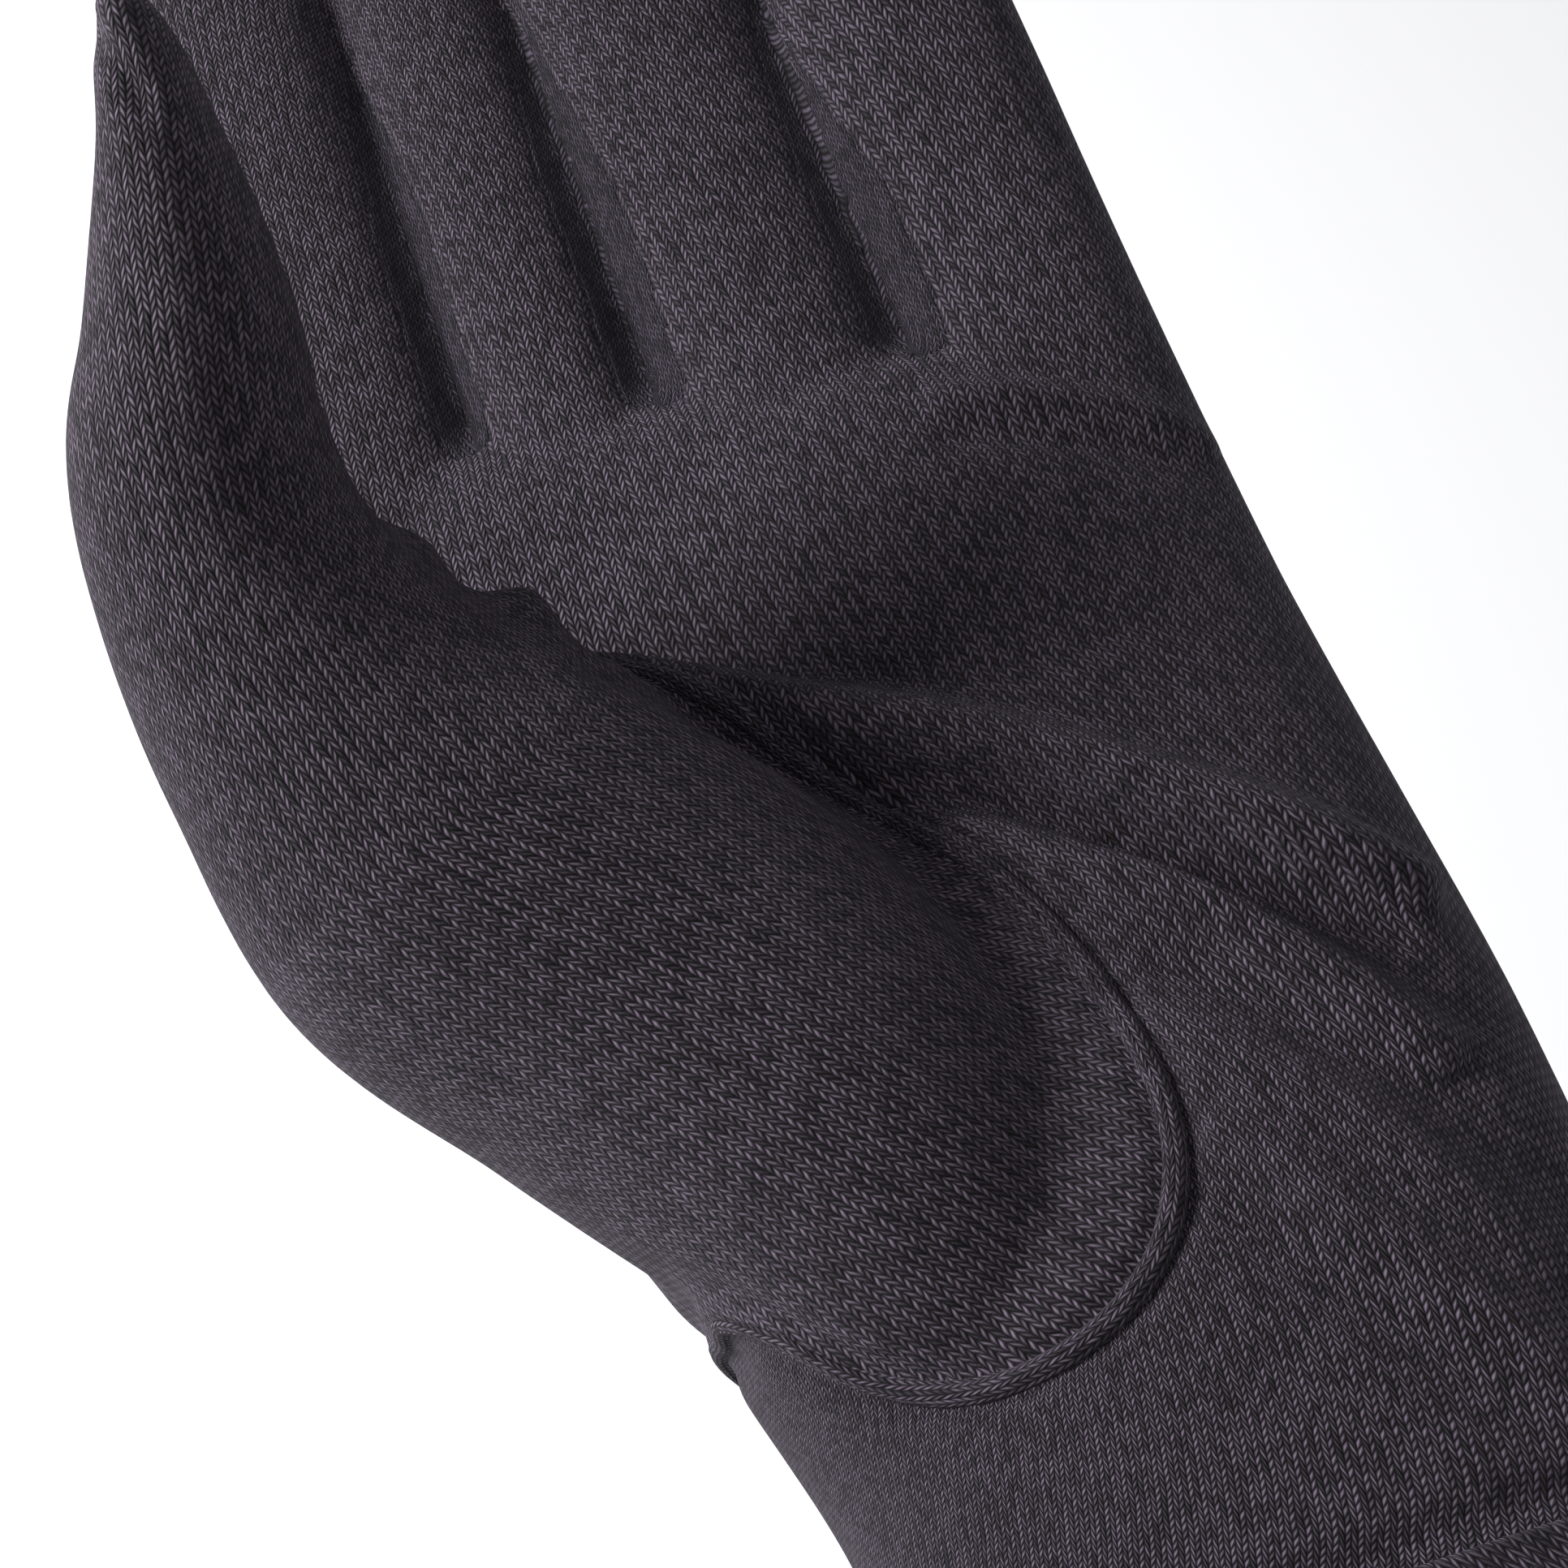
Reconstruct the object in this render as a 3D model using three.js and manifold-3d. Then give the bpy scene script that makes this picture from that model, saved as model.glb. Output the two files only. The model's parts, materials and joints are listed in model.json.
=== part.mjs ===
// A knitted glove liner for the left hand, in millimetres, as it stands when it is worn.
// The origin is the centre of the wrist opening. The fingers point along +Y, the palm faces
// +Z and the thumb stands up from the -X side.
//
// The outside and the inside of the glove are the same set of lofts, made twice: once at full
// size and once smaller by the cloth's thickness. The shell between them is cut into the panels
// that the real glove is sewn from, with a narrow gap at every seam.
import * as THREE from "three";
import { mergeVertices } from "three/addons/utils/BufferGeometryUtils.js";
import Module from "manifold-3d";

const wasm = await Module();
wasm.setup();

// Driving dimensions

const WALL = 1.0; // thickness of the single jersey
const SEAM_GAP = 0.3; // space left between two panels that are sewn together
const HAND_LENGTH = 164; // wrist opening to the fork of the index and middle fingers
const PALM_WIDTH = 81; // across the four fingers' roots
const PALM_DEPTH = 30; // back of the hand to the palm, at the finger roots
const FINGER_LENGTH = 114; // the middle finger, from its root to its tip
const CUFF_LENGTH = 40; // the band below the wrist, with its folded edge
const CUFF_RISE = 0.4; // the band is two layers, so it stands out and in by this much
const FOURCHETTE_WIDTH = 9; // side strip between two fingers, at the fork
const FOURCHETTE_START = 0.1; // shares of a finger's length where its side strips start and end
const FOURCHETTE_END = 0.9;
const FINGER_GAP = 0.4; // between neighbouring fingers, side by side
const FINGERS_MIDDLE = -0.161; // middle of the four fingers, as a share of PALM_WIDTH
const WELT_WIDTH = 1.9; // folded welt round the thumb seam
const WELT_RISE = 0.6; // how far the welt stands above the cloth
const THUMB_SEAM_FLOOR = -0.2333 * PALM_DEPTH; // height of the thumb seam on the back of the hand
const LEAST_HALF = 0.3; // no section is smaller than this, so that every tip closes
const FAR = 1.11 * PALM_WIDTH; // a cutting solid reaches at least this far beyond the cloth

// Mesh fineness

const BODY_AROUND = 26;
const PALM_STEPS = 15;
const FINGER_AROUND = 12;
const FINGER_STEPS = 8;
const THUMB_AROUND = 16;
const THUMB_STEPS = 13;
const SEAM_POINTS = 30;
const WEB_AROUND = 14;
const WEB_STEPS = 5;
const FOLD_AROUND = 6;
const FOLD_STEPS = 5;
const STRIP_STEPS = 8;
const TIP_SPACING = 0.9; // below 1 the rings crowd less at a finger's tip
const MERGE = 1e-4; // points closer than this are one point

// The hand and wrist: one row per section, from the wrist opening to the finger roots.
// at is a share of HAND_LENGTH. shift and width are shares of PALM_WIDTH, front, back and
// hollow are shares of PALM_DEPTH. slant turns the section in the plane of the palm.
const BODY = [
  { at: -0.03, shift: 0.0, width: 0.72, front: 0.65, back: 0.63, hollow: 0.0, slant: 0.0 },
  { at: 0.12, shift: -0.007, width: 0.725, front: 0.655, back: 0.625, hollow: 0.0, slant: 0.0 },
  { at: 0.24, shift: -0.015, width: 0.73, front: 0.66, back: 0.62, hollow: 0.0, slant: 0.0 },
  { at: 0.35, shift: -0.03, width: 0.74, front: 0.66, back: 0.62, hollow: 0.0, slant: 0.0 },
  { at: 0.44, shift: -0.052, width: 0.795, front: 0.63, back: 0.58, hollow: 0.0, slant: 0.0 },
  { at: 0.51, shift: -0.078, width: 0.85, front: 0.59, back: 0.56, hollow: 0.02, slant: -0.02 },
  { at: 0.61, shift: -0.117, width: 0.915, front: 0.54, back: 0.54, hollow: 0.07, slant: -0.04 },
  { at: 0.72, shift: -0.154, width: 0.975, front: 0.49, back: 0.53, hollow: 0.13, slant: -0.07 },
  { at: 0.85, shift: -0.17, width: 0.995, front: 0.45, back: 0.5, hollow: 0.11, slant: -0.11 },
  { at: 0.92, shift: -0.172, width: 0.99, front: 0.37, back: 0.42, hollow: 0.04, slant: -0.15 },
  { at: 0.975, shift: -0.172, width: 0.95, front: 0.19, back: 0.22, hollow: 0.0, slant: -0.17 },
];
const SECTION_POWER = 2.3; // how square the hand's sections are: 2 is an ellipse
const HOLLOW_X = -0.3; // the palm is hollow about this line, and for this far to its sides
const HOLLOW_REACH = 0.21;

// The four fingers from the thumb's side, in shares of PALM_WIDTH for the width, PALM_DEPTH for
// the depth, HAND_LENGTH for the root's place and FINGER_LENGTH for the length. bend is how far
// the finger curls towards the palm, in degrees.
const FINGER_SIZES = [
  { name: "index", start: 0.805, length: 0.9386, width: 0.2296, depth: 0.567, bend: 16 },
  { name: "middle", start: 0.805, length: 1.0, width: 0.2, depth: 0.567, bend: 15 },
  { name: "ring", start: 0.768, length: 0.9649, width: 0.2691, depth: 0.6, bend: 17 },
  { name: "little", start: 0.732, length: 0.8158, width: 0.258, depth: 0.55, bend: 20 },
];
const FINGER_POWER = 2.2;
const SIDE_SEAM_LEVEL_TO = 0.9; // share of HAND_LENGTH from where the side seams follow the fingers

// The fingers in millimetres, side by side across the hand.
function fingersInPlace() {
  const widths = FINGER_SIZES.map((size) => size.width * PALM_WIDTH);
  const across = widths.reduce((sum, width) => sum + width, 0) + 3 * FINGER_GAP;
  let edge = FINGERS_MIDDLE * PALM_WIDTH - across / 2;
  return FINGER_SIZES.map((size, i) => {
    const x = edge + widths[i] / 2;
    edge += widths[i] + FINGER_GAP;
    const depth = size.depth * PALM_DEPTH;
    const length = size.length * FINGER_LENGTH;
    return { ...size, x, width: widths[i], depth, length, start: size.start * HAND_LENGTH };
  });
}
const FINGERS = fingersInPlace();

// The strips between neighbouring fingers, and how far each lies towards the palm.
const FORKS = [
  { left: FINGERS[0], right: FINGERS[1], lift: 0 },
  { left: FINGERS[1], right: FINGERS[2], lift: 0.0167 * PALM_DEPTH },
  { left: FINGERS[2], right: FINGERS[3], lift: 0.0667 * PALM_DEPTH },
];

// How a finger's section changes from its root to its tip, as shares of its width and depth.
const FINGER_PROFILE = [
  { at: 0.0, width: 1.0, depth: 1.0 },
  { at: 0.3, width: 1.0, depth: 1.0 },
  { at: 0.5, width: 1.0, depth: 0.96 },
  { at: 0.62, width: 1.0, depth: 0.95 },
  { at: 0.75, width: 0.98, depth: 0.88 },
  { at: 0.88, width: 0.87, depth: 0.78 },
  { at: 0.95, width: 0.68, depth: 0.6 },
  { at: 0.985, width: 0.43, depth: 0.38 },
  { at: 1.0, width: 0.16, depth: 0.14 },
];

// The thumb: the centre of each section and its half width across and through, from the heel
// of the hand to the tip, where the cloth is pinched flat. y is a share of HAND_LENGTH, and the
// other columns are shares of PALM_WIDTH.
const THUMB = [
  { at: 0.0, x: -0.2222, y: 0.3659, z: 0.037, across: 0.1235, through: 0.1358 },
  { at: 0.1, x: -0.2346, y: 0.439, z: 0.0741, across: 0.1852, through: 0.1852 },
  { at: 0.2, x: -0.2901, y: 0.5244, z: 0.1235, across: 0.2099, through: 0.2037 },
  { at: 0.3, x: -0.4037, y: 0.6098, z: 0.1914, across: 0.2247, through: 0.1951 },
  { at: 0.4, x: -0.5222, y: 0.6799, z: 0.2716, across: 0.2222, through: 0.1827 },
  { at: 0.5, x: -0.5926, y: 0.7439, z: 0.3704, across: 0.1667, through: 0.1543 },
  { at: 0.58, x: -0.621, y: 0.8018, z: 0.4568, across: 0.1333, through: 0.1383 },
  { at: 0.66, x: -0.6123, y: 0.8445, z: 0.5272, across: 0.1185, through: 0.1333 },
  { at: 0.74, x: -0.5827, y: 0.8811, z: 0.5827, across: 0.0988, through: 0.1259 },
  { at: 0.82, x: -0.5617, y: 0.9207, z: 0.6321, across: 0.0778, through: 0.116 },
  { at: 0.9, x: -0.5469, y: 0.9604, z: 0.6815, across: 0.0531, through: 0.0988 },
  { at: 0.96, x: -0.5407, y: 0.9939, z: 0.7235, across: 0.037, through: 0.0741 },
  { at: 1.0, x: -0.542, y: 1.0152, z: 0.7469, across: 0.0173, through: 0.0444 },
];

// The web of cloth between the thumb and the index finger's root, in the same shares.
const WEB = [
  { at: 0.0, x: -0.5432, y: 0.7134, z: 0.3333, across: 0.1481, through: 0.142 },
  { at: 0.4, x: -0.5432, y: 0.7591, z: 0.2222, across: 0.142, through: 0.1049 },
  { at: 0.7, x: -0.5309, y: 0.7988, z: 0.0988, across: 0.1358, through: 0.0864 },
  { at: 1.0, x: -0.5062, y: 0.8293, z: -0.037, across: 0.1235, through: 0.0741 },
];

// The thumb seam in the plane of the palm, from the crotch of the thumb round the heel, in the
// same shares. lean is how much of SEAM_LEAN the cut follows there, to pass under the thumb.
const THUMB_SEAM = [
  { x: -1.1728, y: 0.9024, lean: 1 },
  { x: -0.7407, y: 0.8293, lean: 1 },
  { x: -0.5432, y: 0.7957, lean: 1 },
  { x: -0.3827, y: 0.7591, lean: 0.8 },
  { x: -0.284, y: 0.7256, lean: 0.3 },
  { x: -0.1852, y: 0.6768, lean: 0.05 },
  { x: -0.0988, y: 0.6189, lean: 0 },
  { x: -0.0395, y: 0.5579, lean: 0 },
  { x: -0.0123, y: 0.4939, lean: 0 },
  { x: -0.0123, y: 0.4451, lean: 0 },
  { x: -0.0494, y: 0.4024, lean: 0 },
  { x: -0.1235, y: 0.375, lean: 0 },
  { x: -0.2222, y: 0.3689, lean: 0 },
  { x: -0.321, y: 0.3872, lean: 0 },
  { x: -0.4444, y: 0.4268, lean: 0 },
  { x: -0.7407, y: 0.5122, lean: 0 },
  { x: -1.1728, y: 0.6098, lean: 0 },
];

// How far the cut above the crotch has moved towards the fingers, at each height, in shares of
// HAND_LENGTH and PALM_WIDTH.
const SEAM_LEAN = [
  { z: 0, forward: 0 },
  { z: 0.1481, forward: 0 },
  { z: 0.2469, forward: 0.0305 },
  { z: 0.4198, forward: 0.1341 },
  { z: FAR / PALM_WIDTH, forward: 0.561 },
];

// The folds that stand up on the palm: each is a ridge from one place to another, in the same
// shares, with a bow to its side, the radius of its back and its rise above the cloth.
const FOLDS = [
  { x0: -0.2593, y0: 0.7378, x1: 0.2099, y1: 0.5915, bow: 0.0247, radius: 0.042, rise: 0.0148 },
  { x0: -0.0741, y0: 0.6159, x1: 0.1605, y1: 0.4939, bow: -0.0123, radius: 0.0346, rise: 0.0099 },
  { x0: 0.0247, y0: 0.4878, x1: 0.2469, y1: 0.3476, bow: 0.0123, radius: 0.0395, rise: 0.0136 },
  { x0: 0.037, y0: 0.4268, x1: 0.2222, y1: 0.2927, bow: -0.0123, radius: 0.0395, rise: 0.0123 },
  { x0: 0.0864, y0: 0.872, x1: 0.3086, y1: 0.8171, bow: -0.0074, radius: 0.0272, rise: 0.0099 },
];

const turn = THREE.MathUtils.degToRad;
const smooth = THREE.MathUtils.smoothstep;

// A row's places and sizes in millimetres, from its shares.
function inMillimetres(row) {
  const scaled = { ...row };
  for (const key of ["x", "z", "across", "through", "x0", "x1", "bow", "radius", "rise"]) {
    if (key in row) scaled[key] = row[key] * PALM_WIDTH;
  }
  for (const key of ["y", "y0", "y1", "forward"]) {
    if (key in row) scaled[key] = row[key] * HAND_LENGTH;
  }
  return scaled;
}

// A solid from rings of points: the rings are joined in order and the two ends closed.
function loft(rings, capFaces = fan(rings[0].length)) {
  const around = rings[0].length;
  const faces = [];
  for (let i = 0; i + 1 < rings.length; i++) {
    for (let j = 0; j < around; j++) {
      const a = i * around + j;
      const b = i * around + ((j + 1) % around);
      faces.push(a, b, b + around, a, b + around, a + around);
    }
  }
  const last = (rings.length - 1) * around;
  for (const [a, b, c] of capFaces) {
    faces.push(a, c, b, last + a, last + b, last + c);
  }
  const geometry = new THREE.BufferGeometry().setFromPoints(rings.flat());
  geometry.setIndex(faces);
  return solidOf(geometry);
}

// The faces that close a convex ring of so many points.
function fan(around) {
  const faces = [];
  for (let j = 1; j + 1 < around; j++) faces.push([0, j, j + 1]);
  return faces;
}

// A closed three.js geometry as a solid, facing outward.
function solidOf(geometry) {
  const bare = geometry.clone();
  bare.deleteAttribute("normal");
  bare.deleteAttribute("uv");
  const merged = mergeVertices(bare, MERGE);
  const triVerts = new Uint32Array(merged.index.array);
  const vertProperties = new Float32Array(merged.attributes.position.array);
  const made = new wasm.Manifold(new wasm.Mesh({ numProp: 3, vertProperties, triVerts }));
  if (made.volume() > 0) return made;
  for (let i = 0; i < triVerts.length; i += 3) {
    [triVerts[i + 1], triVerts[i + 2]] = [triVerts[i + 2], triVerts[i + 1]];
  }
  return new wasm.Manifold(new wasm.Mesh({ numProp: 3, vertProperties, triVerts }));
}

// A row of a table at a share of its length, by a smooth curve through each column.
function rowAt(table, at) {
  const next = table.findIndex((row) => row.at >= at);
  const i = THREE.MathUtils.clamp(next - 1, 0, table.length - 2);
  const t = (at - table[i].at) / (table[i + 1].at - table[i].at);
  const near = [i - 1, i, i + 1, i + 2].map((k) => THREE.MathUtils.clamp(k, 0, table.length - 1));
  const row = {};
  for (const key of Object.keys(table[0])) {
    const [p0, p1, p2, p3] = near.map((k) => table[k][key]);
    const leave = (p2 - p0) / 2;
    const arrive = (p3 - p1) / 2;
    const t2 = t * t;
    const t3 = t2 * t;
    const towards = (3 * t2 - 2 * t3) * (p2 - p1);
    row[key] = p1 + towards + (t3 - 2 * t2 + t) * leave + (t3 - t2) * arrive;
  }
  return row;
}

// One ring of a section: front is its reach along normal, back its reach the other way.
function ring(centre, lateral, normal, half, front, back, around, power = 2) {
  const points = [];
  for (let j = 0; j < around; j++) {
    const angle = (j / around) * 2 * Math.PI;
    const c = Math.cos(angle);
    const s = Math.sin(angle);
    const a = Math.sign(c) * Math.abs(c) ** (2 / power) * half;
    const b = Math.sign(s) * Math.abs(s) ** (2 / power) * (s > 0 ? front : back);
    points.push(centre.clone().addScaledVector(lateral, a).addScaledVector(normal, b));
  }
  return points;
}

// Hand and wrist

const X = new THREE.Vector3(1, 0, 0);
const Z = new THREE.Vector3(0, 0, 1);

// Height of the palm's cloth above a place on a section, and how deep the hollow is there.
function palmHeight(row, across) {
  const nearlyEdge = 0.98;
  const share = Math.min(Math.abs(across) / ((row.width * PALM_WIDTH) / 2), nearlyEdge);
  return row.front * PALM_DEPTH * (1 - share ** SECTION_POWER) ** (1 / SECTION_POWER);
}

function hollowAt(row, x) {
  return row.hollow * PALM_DEPTH * Math.exp(-(((x / PALM_WIDTH - HOLLOW_X) / HOLLOW_REACH) ** 2));
}

function bodyForm(offset) {
  const cuffShare = CUFF_LENGTH / HAND_LENGTH;
  const stations = [BODY[0].at, 0, cuffShare / 2];
  for (let i = 0; i <= PALM_STEPS; i++) {
    stations.push(cuffShare + ((BODY[BODY.length - 1].at - cuffShare) * i) / PALM_STEPS);
  }
  const rings = stations.map((at) => {
    const row = rowAt(BODY, at);
    const centre = new THREE.Vector3(row.shift * PALM_WIDTH, at * (HAND_LENGTH + offset), 0);
    const lateral = new THREE.Vector3(1, row.slant, 0);
    const half = (row.width * PALM_WIDTH) / 2 + offset;
    const front = row.front * PALM_DEPTH + offset;
    const back = row.back * PALM_DEPTH + offset;
    const points = ring(centre, lateral, Z, half, front, back, BODY_AROUND, SECTION_POWER);
    for (const point of points) {
      if (point.z > 0) point.z -= hollowAt(row, point.x) * (point.z / front);
    }
    return points;
  });
  return loft(rings);
}

// A fold: a thin bow-shaped ridge that is sunk in the palm but for its rise. It is low and
// narrow at both ends and broader than it is high.
function foldForm(shares, offset) {
  const fold = inMillimetres(shares);
  const endSwell = 0.19;
  const endRadius = 0.55;
  const broad = 1.3;
  const along = new THREE.Vector3(fold.x1 - fold.x0, fold.y1 - fold.y0, 0);
  const aside = new THREE.Vector3(-along.y, along.x, 0).normalize();
  const rings = [];
  for (let i = 0; i <= FOLD_STEPS; i++) {
    const share = i / FOLD_STEPS;
    const swell = endSwell + (1 - endSwell) * Math.sin(Math.PI * share);
    const centre = new THREE.Vector3(fold.x0, fold.y0, 0).addScaledVector(along, share);
    centre.addScaledVector(aside, fold.bow * swell);
    const row = rowAt(BODY, centre.y / HAND_LENGTH);
    const height = palmHeight(row, centre.x - row.shift * PALM_WIDTH) - hollowAt(row, centre.x);
    const radius = Math.max(fold.radius * (endRadius + (1 - endRadius) * swell) + offset, LEAST_HALF);
    centre.z = height + fold.rise * swell - radius + offset;
    rings.push(ring(centre, aside, Z, radius * broad, radius, radius, FOLD_AROUND));
  }
  return loft(rings);
}

// The frame of a finger at a share of its length: centre, sideways and towards the palm.
function fingerFrame(finger, share) {
  const bend = turn(finger.bend);
  const slope = bend * share;
  const reach = (finger.length / bend) * Math.sin(slope);
  const rise = (finger.length / bend) * (1 - Math.cos(slope));
  const centre = new THREE.Vector3(finger.x, finger.start + reach, rise);
  const normal = new THREE.Vector3(0, -Math.sin(slope), Math.cos(slope));
  return { centre, lateral: X, normal };
}

function profileAt(share) {
  const next = FINGER_PROFILE.findIndex((row) => row.at >= share);
  if (next <= 0) return FINGER_PROFILE[0];
  const [low, high] = [FINGER_PROFILE[next - 1], FINGER_PROFILE[next]];
  const t = (share - low.at) / (high.at - low.at);
  const mix = (key) => low[key] + (high[key] - low[key]) * t;
  return { width: mix("width"), depth: mix("depth") };
}

// Shares of a finger's length where its rings lie: closer together towards the rounded tip.
function ringShares() {
  const shares = [];
  for (let i = 0; i <= FINGER_STEPS; i++) {
    shares.push(Math.sin((i / FINGER_STEPS) * (Math.PI / 2)) ** TIP_SPACING);
  }
  return shares;
}

function fingerForm(finger, offset) {
  const shorter = { ...finger, length: finger.length + offset };
  const rings = ringShares().map((share) => {
    const { centre, lateral, normal } = fingerFrame(shorter, share);
    const row = profileAt(share);
    const half = Math.max((row.width * finger.width) / 2 + offset, LEAST_HALF);
    const deep = Math.max((row.depth * finger.depth) / 2 + offset, LEAST_HALF);
    return ring(centre, lateral, normal, half, deep, deep, FINGER_AROUND, FINGER_POWER);
  });
  return loft(rings);
}

// A bent tube through the rows of a table such as THUMB.
function tube(table, offset, steps, around) {
  const rows = [];
  const [start, end] = [table[0].at, table[table.length - 1].at];
  for (let i = 0; i <= steps; i++) {
    rows.push(inMillimetres(rowAt(table, start + ((end - start) * i) / steps)));
  }
  const centres = rows.map((r) => new THREE.Vector3(r.x, r.y, r.z));
  const rings = rows.map((row, i) => {
    const before = centres[Math.max(i - 1, 0)];
    const after = centres[Math.min(i + 1, steps)];
    const ahead = after.clone().sub(before).normalize();
    const lateral = X.clone().addScaledVector(ahead, -ahead.x).normalize();
    const normal = new THREE.Vector3().crossVectors(lateral, ahead);
    const half = Math.max(row.across + offset, LEAST_HALF);
    const deep = Math.max(row.through + offset, LEAST_HALF);
    const inset = i === steps ? offset : 0;
    const centre = centres[i].clone().addScaledVector(ahead, inset);
    return ring(centre, lateral, normal, half, deep, deep, around);
  });
  return loft(rings);
}

const thumbForm = (offset) => tube(THUMB, offset, THUMB_STEPS, THUMB_AROUND);
const webForm = (offset) => tube(WEB, offset, WEB_STEPS, WEB_AROUND);

// The whole glove as one solid, bigger or smaller by offset.
function gloveForm(offset) {
  let form = bodyForm(offset).add(thumbForm(offset)).add(webForm(offset));
  for (const finger of FINGERS) form = form.add(fingerForm(finger, offset));
  for (const fold of FOLDS) form = form.add(foldForm(fold, offset));
  return form;
}

// Cutting solids

function box(x0, x1, y0, y1, z0, z1) {
  const geometry = new THREE.BoxGeometry(x1 - x0, y1 - y0, z1 - z0);
  geometry.translate((x0 + x1) / 2, (y0 + y1) / 2, (z0 + z1) / 2);
  return solidOf(geometry);
}

// A strip solid along a finger between two shares of its length: from side a to side b, and
// from low to high in its section.
function strip(finger, [from, to], [a, b], low, high) {
  const rings = [];
  for (let i = 0; i <= STRIP_STEPS; i++) {
    const share = from + ((to - from) * i) / STRIP_STEPS;
    const { centre, lateral, normal } = fingerFrame(finger, share);
    const corner = (across, up) => {
      const onSide = centre.clone().addScaledVector(lateral, across);
      return onSide.addScaledVector(normal, up(share));
    };
    rings.push([corner(a, low), corner(b, low), corner(b, high), corner(a, high)]);
  }
  return loft(rings);
}

// Everything behind the side seams, with the seams moved towards the palm by grow. At the roots
// the fingers' cuts overlap. Past the forks each is as wide as its finger and half the space
// beside it.
function backHalf(grow) {
  const level = () => grow;
  const deep = () => -PALM_DEPTH;
  const rootCover = 0.032 * PALM_WIDTH;
  const roots = [0, 0.34];
  const beyond = [0.3, 1.02];
  let half = box(-FAR, FAR, -FAR, SIDE_SEAM_LEVEL_TO * HAND_LENGTH, -FAR, grow);
  for (const finger of FINGERS) {
    const wide = finger.width / 2 + rootCover;
    const narrow = (finger.width + FINGER_GAP) / 2;
    half = half.add(strip(finger, roots, [-wide, wide], deep, level));
    half = half.add(strip(finger, beyond, [-narrow, narrow], deep, level));
  }
  return half;
}

// The strip between two neighbouring fingers, wider by grow on every side: one half on the side
// of each finger, meeting in the fork.
function fourchetteBand({ left, right, lift }, grow) {
  const endWidth = 0.28;
  const innerEdge = 0.22;
  const overlap = 0.0148 * PALM_WIDTH;
  const middle = (share) => lift * (1 - smooth(share, 0.55, FOURCHETTE_END));
  const taper = (share) => 1 - (1 - endWidth) * smooth(share, 0.45, FOURCHETTE_END);
  const half = (share) => (FOURCHETTE_WIDTH / 2) * taper(share) + grow;
  const low = (share) => middle(share) - half(share);
  const high = (share) => middle(share) + half(share);
  const span = [FOURCHETTE_START - grow / left.length, FOURCHETTE_END + grow / left.length];
  const reach = FINGER_GAP / 2 + overlap;
  const onLeft = [left.width * innerEdge - grow, left.width / 2 + reach];
  const onRight = [-right.width / 2 - reach, -right.width * innerEdge + grow];
  return strip(left, span, onLeft, low, high).add(strip(right, span, onRight, low, high));
}

// The region of the thumb piece, wider by grow: the seam's outline, carried up past the thumb.
function thumbRegion(grow) {
  const rows = THUMB_SEAM.map(inMillimetres);
  const outline = rows.map((row, i) => {
    const before = rows[Math.max(i - 1, 0)];
    const after = rows[Math.min(i + 1, rows.length - 1)];
    const out = new THREE.Vector2(before.y - after.y, after.x - before.x).setLength(grow);
    return new THREE.Vector3(row.x + out.x, row.y + out.y, row.lean);
  });
  const curve = new THREE.CatmullRomCurve3(outline).getPoints(SEAM_POINTS);
  const flat = () => curve.map((point) => new THREE.Vector2(point.x, point.y));
  if (THREE.ShapeUtils.isClockWise(flat())) curve.reverse();
  const floor = { z: THUMB_SEAM_FLOOR - grow, forward: 0 };
  const rings = [floor, ...SEAM_LEAN.map(inMillimetres)].map((level) =>
    curve.map((point) => new THREE.Vector3(point.x, point.y + point.z * level.forward, level.z)),
  );
  return loft(rings, THREE.ShapeUtils.triangulateShape(flat(), []));
}

// Panels

const outside = gloveForm(0);
const inside = gloveForm(-WALL);
const shell = outside.subtract(inside);
const weltShell = gloveForm(WELT_RISE).subtract(inside);

const handOnly = box(-FAR, FAR, CUFF_LENGTH + SEAM_GAP, 3 * FAR, -FAR, FAR);
const cuffOnly = box(-FAR, FAR, 0, CUFF_LENGTH, -FAR, FAR);
const hand = shell.intersect(handOnly);

const weltHalf = WELT_WIDTH / 2;
const thumbPiece = hand.intersect(thumbRegion(-weltHalf - SEAM_GAP));
const weltStrip = thumbRegion(weltHalf).subtract(thumbRegion(-weltHalf));
const welt = weltShell.intersect(handOnly).intersect(weltStrip);
const rest = hand.subtract(thumbRegion(weltHalf + SEAM_GAP));

const fourchettes = FORKS.map((fork) => rest.intersect(fourchetteBand(fork, 0)));
let trank = rest;
for (const fork of FORKS) trank = trank.subtract(fourchetteBand(fork, SEAM_GAP));

const backPanel = trank.intersect(backHalf(0));
const palmPanel = trank.subtract(backHalf(SEAM_GAP));
const cuffBand = gloveForm(CUFF_RISE).subtract(gloveForm(-WALL - CUFF_RISE)).intersect(cuffOnly);

// Meshes

const CLOTH = { trank: 0x35323a, thumb: 0x37343d, strips: 0x302d35, welt: 0x2c2931, cuff: 0x33303a };
const CLOTH_ROUGHNESS = 0.9;

function meshOf(name, solid, color) {
  const mesh = solid.getMesh();
  const geometry = new THREE.BufferGeometry();
  geometry.setAttribute("position", new THREE.BufferAttribute(new Float32Array(mesh.vertProperties), 3));
  geometry.setIndex(new THREE.BufferAttribute(new Uint32Array(mesh.triVerts), 1));
  geometry.computeVertexNormals();
  const material = new THREE.MeshStandardMaterial({ color, roughness: CLOTH_ROUGHNESS, metalness: 0 });
  const made = new THREE.Mesh(geometry, material);
  made.name = name;
  return made;
}

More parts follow.
